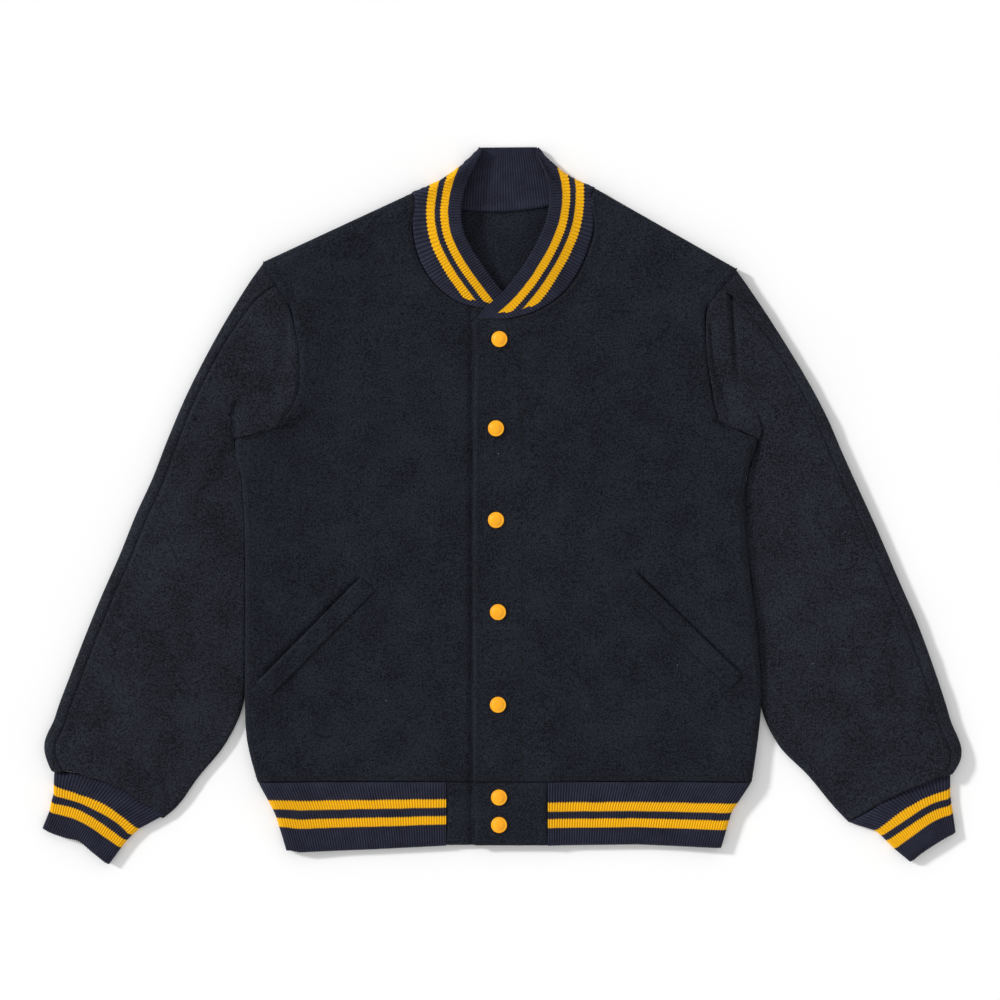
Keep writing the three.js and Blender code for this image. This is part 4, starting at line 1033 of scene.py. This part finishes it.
def make_sleeve(half, side):
    rings = sleeve_rings(half)
    loop = np.array([[*under, *arc, *top[1:][::-1]] for top, under, arc in rings]).transpose(1, 0, 2)
    elbow = len(rings[0][1]) + len(rings[0][2]) + 1
    fine, index = refined(loop, 0, SLEEVE_SPACING, closed=True)
    fine, _ = refined(fine, 1, SLEEVE_SPACING)
    n = len(fine)
    top_at = (index[elbow] + n) // 2
    normals = oriented(fine, (top_at, fine.shape[1] // 2), closed=True)
    cut = index[elbow]
    around = np.arange(cut, n + 1) % n
    made = []
    for part, lines in (("top", around), ("under", np.arange(0, cut + 1))):
        face = fine[lines]
        soften = smooth(rim_distance(face, 0, 1) / 14) * smooth(rim_distance(face, 1, 0) / 7)
        obj, _, _ = panel(f"cloth_sleeve_{side}_{part}", face, normals[lines], SLEEVE_CLOTH,
                                31 if side == "right" else 47, rims=[(0, 0), (0, 1), (1, 0), (1, 1)],
                                waves=0.5,
                                soften=soften)
        made.append(declared(obj, "wool", f"sleeve_{side}_{part}"))
    return made


sleeve_right_top, sleeve_right_under = make_sleeve(RIGHT, "right")
sleeve_left_top, sleeve_left_under = make_sleeve(LEFT, "left")


# Ribs


def half_round(start, direction, radius, top, count):
    """Points of a half round from a top height down to the floor."""
    a = np.linspace(math.pi / 2, -math.pi / 2, count + 1)[1:-1, None]
    points = start + direction * radius * np.cos(a)
    points[:, 2] = (top / 2 * (1 + np.sin(a)))[:, 0]
    return points


def make_cuff(side, tables):
    lines = [lifted(table) for table in tables]
    shares, stripes = band_rows(CUFF_STRIPES)
    ribs = round(lengths(lines[1])[-1] / RIB_PITCH)
    t = steps(STATIONS_PER_RIB * ribs)
    edges = []
    for line in lines:
        inset = CUFF_RADIUS / lengths(line)[-1]
        edges.append(by_length(line, mix(1 - inset, inset, t)))
    rows = []
    for v in stripes:
        line = np.stack([[np.interp(v, STRIPE_SHARES, [edge[k, c] for edge in edges]) for c in range(3)]
                         for k in range(len(t))])
        across = unit(line[-1] - line[0])
        top = line.copy()
        top[:, 2] = mix(2 * CUFF_RADIUS, CUFF_MIDDLE_TOP, np.sin(math.pi * t))
        under = line[::-1]
        rows.append(np.vstack([top, half_round(top[-1], across, CUFF_RADIUS, top[-1, 2], 24), under,
                               half_round(under[-1], -across, CUFF_RADIUS, 2 * CUFF_RADIUS, 24)[::-1]]))
    grid = np.array(rows).transpose(1, 0, 2)
    obj = rib_band(f"rib_cuff_{side}", grid, stripes[None, :], RIB_KNIT, (len(t) // 2, len(shares) // 2),
                               closed=True)
    return declared(obj, "rib", f"cuff_{side}")


cuff_right = make_cuff("right", CUFF_LINES_RIGHT)
cuff_left = make_cuff("left", CUFF_LINES_LEFT)


def make_hem():
    shares, stripes = band_rows(HEM_STRIPES_RIGHT, 14)
    levels = HEM_ROWS[0][0] + (HEM_ROWS[-1][0] - HEM_ROWS[0][0]) * shares
    table = np.array(HEM_ROWS)[::-1]
    depth = HEM_ROWS[0][0] - HEM_ROWS[-1][0]
    right_count = round((TAB_RIGHT_EDGE + 258.6) / RIB_PITCH) * STATIONS_PER_RIB
    left_count = round((265.5 - TAB_LEFT_EDGE) / RIB_PITCH) * STATIONS_PER_RIB
    floor_count = round(490 / RIB_PITCH) * STATIONS_PER_RIB
    rows = []
    for level in levels:
        right_x, left_x, radius = (np.interp(level, table[:, 0], table[:, c]) for c in (1, 2, 3))

        def line(x, level=level):
            share = (HEM_ROWS[0][0] - level) / depth
            bottom = np.interp(x, [row[0] for row in HEM_BOTTOM], [row[1] for row in HEM_BOTTOM])
            y = level + share * (bottom - HEM_ROWS[-1][0])
            return np.stack([x, y, np.zeros_like(x)], axis=-1)

        def front(half, x, edge, radius=radius):
            points = line(x)
            from_edge = np.abs(edge - x)
            height = front_top(half, x, from_edge, 2 * EDGE_FALL) + HEM_OVER_FRONT
            points[:, 2] = height - 2 * (EDGE_RADIUS - radius) * (1 - smooth(from_edge / EDGE_FALL))
            return points

        right, left = right_x + radius, left_x - radius
        front_r = front(RIGHT, mix(TAB_RIGHT_EDGE, right, steps(right_count)), right)
        front_l = front(LEFT, mix(left, TAB_LEFT_EDGE, steps(left_count)), left)
        rows.append(np.vstack([
            front_r, half_round(front_r[-1], flat(-1, 0), radius, front_r[-1, 2], 30),
            line(mix(right, left, steps(floor_count))),
            half_round(front_l[0], flat(1, 0), radius, front_l[0, 2], 30)[::-1], front_l]))
    grid = np.array(rows).transpose(1, 0, 2)
    other = np.interp(shares * HEM_STRIPES_LEFT[-1], HEM_STRIPES_LEFT, STRIPE_SHARES)
    stripes = np.where(grid[:, :1, 0] > 0, other[None, :], stripes[None, :])
    obj = rib_band("rib_hem", grid, stripes, RIB_KNIT, (200, 6))
    return declared(obj, "rib", "hem_rib")


hem = make_hem()


def neck_edge(half):
    return np.array([front_row(half, *row)[0] for row in half.rows()[LOWER_ROWS + NECK_START:]])


def collar_flap(half, table):
    edge = neck_edge(half)
    rows = np.array(table, float)
    ribs = round(lengths(edge)[-1] / RIB_PITCH)
    t = steps(STATIONS_PER_RIB * ribs)
    seam = by_length(edge, t)
    free = curve_at(rows[:, 1:], np.interp(t, rows[:, 0], steps(len(rows) - 1)))
    toward = unit((free - seam) * [1, 1, 0])
    seam = seam + toward * STAND_GAP + flat(0, 0, STAND_GAP)
    bulge = COLLAR_BULGE * smooth(t * 3 - 0.6) * (1 - smooth((t - 0.7) / 0.3))
    return seam, free, bulge


def collar_fold(half, seam, free, count=36):
    line = unit((free - seam) * [1, 1, 0])
    out = flat(line[1] * half.sign, -line[0] * half.sign)
    out = out if out[1] > 0 else -out
    t = steps(count)[1:]
    a = (math.pi / 2 - t * math.pi)[:, None]

    def around(p, way, radius):
        points = p + way * radius * np.cos(a)
        points[:, 2] = (p[2] / 2 * (1 + np.sin(a)))[:, 0]
        return points

    seams = around(seam, half.outward, EDGE_RADIUS + 0.8) + line * (FOLD_CLEARANCE * t)[:, None]
    return seams, around(free, out, COLLAR_FOLD_RADIUS), np.zeros(count)


def edge_places(places, free):
    """Distance in plan to a flap's free edge, run on past its tip, and the run along it."""
    start = free[0] - unit(free[12] - free[0]) * 40
    line = np.vstack([mix(start, free[0], steps(60)[:-1, None]), free])[:, :2]
    run = lengths(line)
    tangents = unit(np.gradient(line, axis=0))
    found, along = np.full(places.shape[:2], 1e9), np.zeros(places.shape[:2])
    for p, r, tangent in zip(line, run, tangents):
        dx, dy = places[..., 0] - p[0], places[..., 1] - p[1]
        distance = np.hypot(dx, dy)
        nearer = distance < found
        found = np.where(nearer, distance, found)
        along = np.where(nearer, r + dx * tangent[0] + dy * tangent[1], along)
    return found, along


def make_collar():
    seam_r, free_r, bulge_r = collar_flap(RIGHT, COLLAR_RIGHT)
    seam_l, free_l, bulge_l = collar_flap(LEFT, COLLAR_LEFT)
    fold_r = collar_fold(RIGHT, seam_r[-1], free_r[-1])
    fold_l = collar_fold(LEFT, seam_l[-1], free_l[-1])
    line = back_neck_line()[1:-1] + flat(0, -1.6, 2.3)
    t = steps(STATIONS_PER_RIB * STAND_RIBS)[6:-6]
    stand_seam = by_length(line, t)
    stand_free = mix(flat(*STAND_CORNERS[0]), flat(*STAND_CORNERS[1]), t[:, None])
    seam = np.vstack([seam_r, fold_r[0], stand_seam, fold_l[0][::-1], seam_l[::-1]])
    free = np.vstack([free_r, fold_r[1], stand_free, fold_l[1][::-1], free_l[::-1]])
    bulge = np.concatenate([bulge_r, fold_r[2], np.zeros(len(t)), fold_l[2], bulge_l[::-1]])
    near = smooth((steps(len(seam_r) - 1) - 0.72) / 0.28)
    near_l = smooth((steps(len(seam_l) - 1) - 0.72) / 0.28)
    ends = 1 - smooth(np.minimum(t, 1 - t) / 0.12)
    sag = np.concatenate([near, np.ones(len(fold_r[0])), ends, np.ones(len(fold_l[0])),
                          near_l[::-1]]) * COLLAR_SAG
    shares, _ = band_rows(COLLAR_STRIPES, 22)
    grid = seam[:, None] + (free - seam)[:, None] * shares[None, :, None]
    hump = np.sin(math.pi * shares)[None, :]
    way = unit((free - seam) * [1, 1, 0])
    square = np.stack([way[:, 1], -way[:, 0], way[:, 2]], axis=-1)
    square = np.where(square[:, 1:2] > 0, -square, square)
    grid = grid + square[:, None] * (sag[:, None] * hump)[..., None]
    grid[..., 2] += bulge[:, None] * hump
    in_stand = np.zeros(len(seam))
    in_stand[len(seam_r) + len(fold_r[0]):len(seam_r) + len(fold_r[0]) + len(t)] = 1
    grid[..., 2] *= 1 - in_stand[:, None] * smooth((shares[None, :] - 0.03) / 0.1)
    middle = grid[:, len(shares) // 2]
    tangent = unit(np.gradient(middle, axis=0))
    lean = (shares - 0.5)[None, :] * np.einsum("ij,ij->i", free - seam, tangent)[:, None]
    distance = rim_distance(grid, 1, 1)
    first, last = len(seam_r) + len(fold_r[0]), len(seam) - len(seam_l) - len(fold_l[0])
    along = lengths(middle)[:, None] + lean
    distance[:first], along[:first] = edge_places(grid[:first], free_r)
    distance[last:], along[last:] = edge_places(grid[last:], free_l)
    lean = along - lengths(middle)[:, None]
    stripes = np.interp(COLLAR_STRIPES[-1] - distance, COLLAR_STRIPES, STRIPE_SHARES)
    obj = rib_band("rib_collar", grid, stripes, RIB_KNIT, (40, len(shares) // 2), lean=lean,
                               plain_strip=COLLAR_PLAIN_STRIP)
    return declared(obj, "rib", "collar_rib")


collar = make_collar()


# Tabs, welts and snaps


def make_tab(half, side, start, stop):
    x = np.linspace(start, stop, 40)
    y = np.linspace(HEM_Y - 0.6, TAB_BOTTOM, 32)
    gx, gy = np.meshgrid(x, y, indexing="ij")
    grid = np.stack([gx, gy, MIDDLE_TOP + placket_lift(half, gx) + 0.2], axis=-1)
    normals = oriented(grid, (20, 16))
    obj, face, _ = panel(f"cloth_hem_tab_{side}", grid, normals, WOOL_CLOTH, 71,
                         rims=[(0, 0), (0, 1), (1, 0), (1, 1)],
                            waves=0.2)
    return declared(obj, "wool", f"hem_tab_{side}"), face


tab_right, _ = make_tab(RIGHT, "right", TAB_RIGHT_EDGE + 0.2, 18.0)
tab_left, tab_left_face = make_tab(LEFT, "left", TAB_FREE_EDGE, TAB_LEFT_EDGE - 0.2)
drape_right, drape_left = Drape(right_face), Drape(left_face)
drape_tab = Drape(tab_left_face)


def make_welt(side, drape):
    upper, along, outward, width = welt_frame(side)
    t, v = np.linspace(0, 1, 61), np.linspace(-0.5, 0.5, 17)
    flat_grid = upper + along * t[:, None, None] + outward * (v * width)[None, :, None]
    base = drape.heights(flat_grid.reshape(-1, 3)).reshape(flat_grid.shape[:2])
    base = np.maximum(base, base[:, :9].max(axis=1, keepdims=True) - 0.6)
    ends = np.sqrt(np.clip(np.minimum(t, 1 - t) / 0.03, 0, 1))[:, None]
    across = 1.5 + 1.5 * smooth(v + 0.5)[None, :]
    rolled = np.sqrt(np.clip((0.5 - v) / 0.12, 0, 1))[None, :]
    sewn = np.sqrt(np.clip((v + 0.5) / 0.06, 0, 1))[None, :]
    flat_grid[..., 2] = base + 0.3 + across * (0.35 + 0.65 * ends) * (0.3 + 0.7 * rolled) * (0.3 + 0.7 * sewn)
    under = flat_grid.copy()
    under[..., 2] = base + 0.15
    obj = shell(f"cloth_welt_{side}", flat_grid, under, flat_grid[..., :2] * MM, WOOL_CLOTH)
    return declared(obj, "wool", f"pocket_welt_{side}")


welt_right = make_welt("right", drape_right)
welt_left = make_welt("left", drape_left)

# Radius and height of the snap cap's profile, from the rim's underside up to the middle.
CAP = [(0, 0), (7.6, 0.0), (8.2, 0.25), (8.5, 0.8), (8.42, 1.35), (8.1, 1.75), (7.6, 1.9), (7.0, 1.85),
       (6.5, 1.9), (5.6, 2.3),
       (4.2, 2.8), (2.6, 3.1), (1.2, 3.2), (0, 3.22)]


def make_snap(number, place, drape):
    x, y = place
    m = CAP_SEGMENTS
    radius = SNAP_DIAMETER / 2
    around = [(x + radius * math.cos(a), y + radius * math.sin(a)) for a in np.arange(8) * math.tau / 8]
    seat = max(drape.heights([(x, y)])[0], drape.heights(around).max()) + 0.1
    profile = curve_at(lifted([(r, 0, z) for r, z in CAP]), steps(CAP_RINGS))
    angles = np.arange(m) * math.tau / m
    rings = np.stack([np.outer(profile[1:-1, 0], np.cos(angles)), np.outer(profile[1:-1, 0], np.sin(angles)),
                      np.repeat(profile[1:-1, 2:3], m, axis=1)], axis=-1)
    vertices = np.vstack([rings.reshape(-1, 3), profile[:1], profile[-1:]])
    n = len(rings)
    quads = [[r * m + k, r * m + (k + 1) % m, (r + 1) * m + (k + 1) % m, (r + 1) * m + k]
             for r in range(n - 1) for k in range(m)]
    low, high = n * m, n * m + 1
    quads += [[low, (k + 2) % m, (k + 1) % m, k] for k in range(0, m, 2)]
    top = (n - 1) * m
    quads += [[high, top + k, top + (k + 1) % m, top + (k + 2) % m] for k in range(0, m, 2)]
    vertices = vertices + flat(x, y, seat)
    obj = mesh_object(f"snap_cap_{number}", vertices, quads, vertices[:, :2] * MM, ENAMEL)
    return declared(obj, "snap_enamel", f"snap_{number}")


for number, place in enumerate(SNAPS, 1):
    make_snap(number, place, drape_left if place[1] > HEM_Y else drape_tab)


# Stitching


def placed(x0, y0, x1, y1, drape, count=60):
    t = np.linspace(0, 1, count)
    return seam_lines(list(zip(x0 + (x1 - x0) * t, y0 + (y1 - y0) * t)), drape)


def welt_lines(side, drape):
    upper, along, outward, width = welt_frame(side)
    inner, outer = upper - outward * (width / 2 + 0.9), upper + outward * width / 2
    corners = [outer, inner, inner + along, outer + along]
    return [placed(a[0], a[1], b[0], b[1], drape) for a, b in zip(corners, corners[1:])]


def back_neck_lines():
    face = Drape(back_face)
    line = by_length(back_neck_line(), np.linspace(0.22, 0.78, 70))
    return [seam_lines([(p[0], p[1] + down) for p in line], face) for down in (-4.2, -8.4)]


trim = {
    "front_right": stitches("stitch_front_right", [
        trace(right_face, right_up, 1, 0, 6.3), trace(right_face, right_up, 0, 1, 10.5),
        trace(right_face, right_up, 0, 0, 6.0),
        *welt_lines("right", drape_right), placed(-134, -90.6, -96, -128, drape_right)]),
    "front_left": stitches("stitch_front_left", [
        trace(left_face, left_up, 1, 0, 6.3), trace(left_face, left_up, 0, 1, 10.5),
        trace(left_face, left_up, 0, 0, 5.0),
        placed(21, -286, 21, 190, drape_left, 200), *welt_lines("left", drape_left),
        placed(127.8, -84.3, 88.6, -125.6, drape_left)]),
    "back": stitches("stitch_back_neck", back_neck_lines()),
}


# Floor


def floor_plane():
    s = 3.0
    mesh = bpy.data.meshes.new("pale_floor")
    mesh.from_pydata([(-s, -s, -0.0004), (s, -s, -0.0004), (s, s, -0.0004), (-s, s, -0.0004)], [],
                     [(0, 1, 2, 3)])
    mesh.materials.append(floor_material())
    obj = bpy.data.objects.new("pale_floor", mesh)
    bpy.context.scene.collection.objects.link(obj)
    return obj


floor = floor_plane()


# Camera and light


def add_camera():
    data = bpy.data.cameras.new("overhead")
    data.sensor_width = 36.0
    height, span = 2.6, 1.06
    data.lens = data.sensor_width * (height - 0.008) / span
    obj = bpy.data.objects.new("overhead", data)
    obj.location = (-0.0015, 0.0058, height)
    bpy.context.scene.collection.objects.link(obj)
    bpy.context.scene.camera = obj


def add_lights():
    world = bpy.data.worlds.new("soft_studio")
    bpy.context.scene.world = world
    world.use_nodes = True
    background = world.node_tree.nodes["Background"]
    background.inputs["Color"].default_value = (1, 1, 1, 1)
    background.inputs["Strength"].default_value = 0.72
    data = bpy.data.lights.new("key", "SUN")
    data.energy = 2.3
    data.angle = math.radians(7)
    obj = bpy.data.objects.new("key", data)
    toward = Vector((0.86, -0.42, -0.53))
    obj.rotation_euler = toward.to_track_quat("-Z", "Y").to_euler()
    bpy.context.scene.collection.objects.link(obj)


add_camera()
add_lights()
bpy.context.scene.view_settings.view_transform = "Standard"
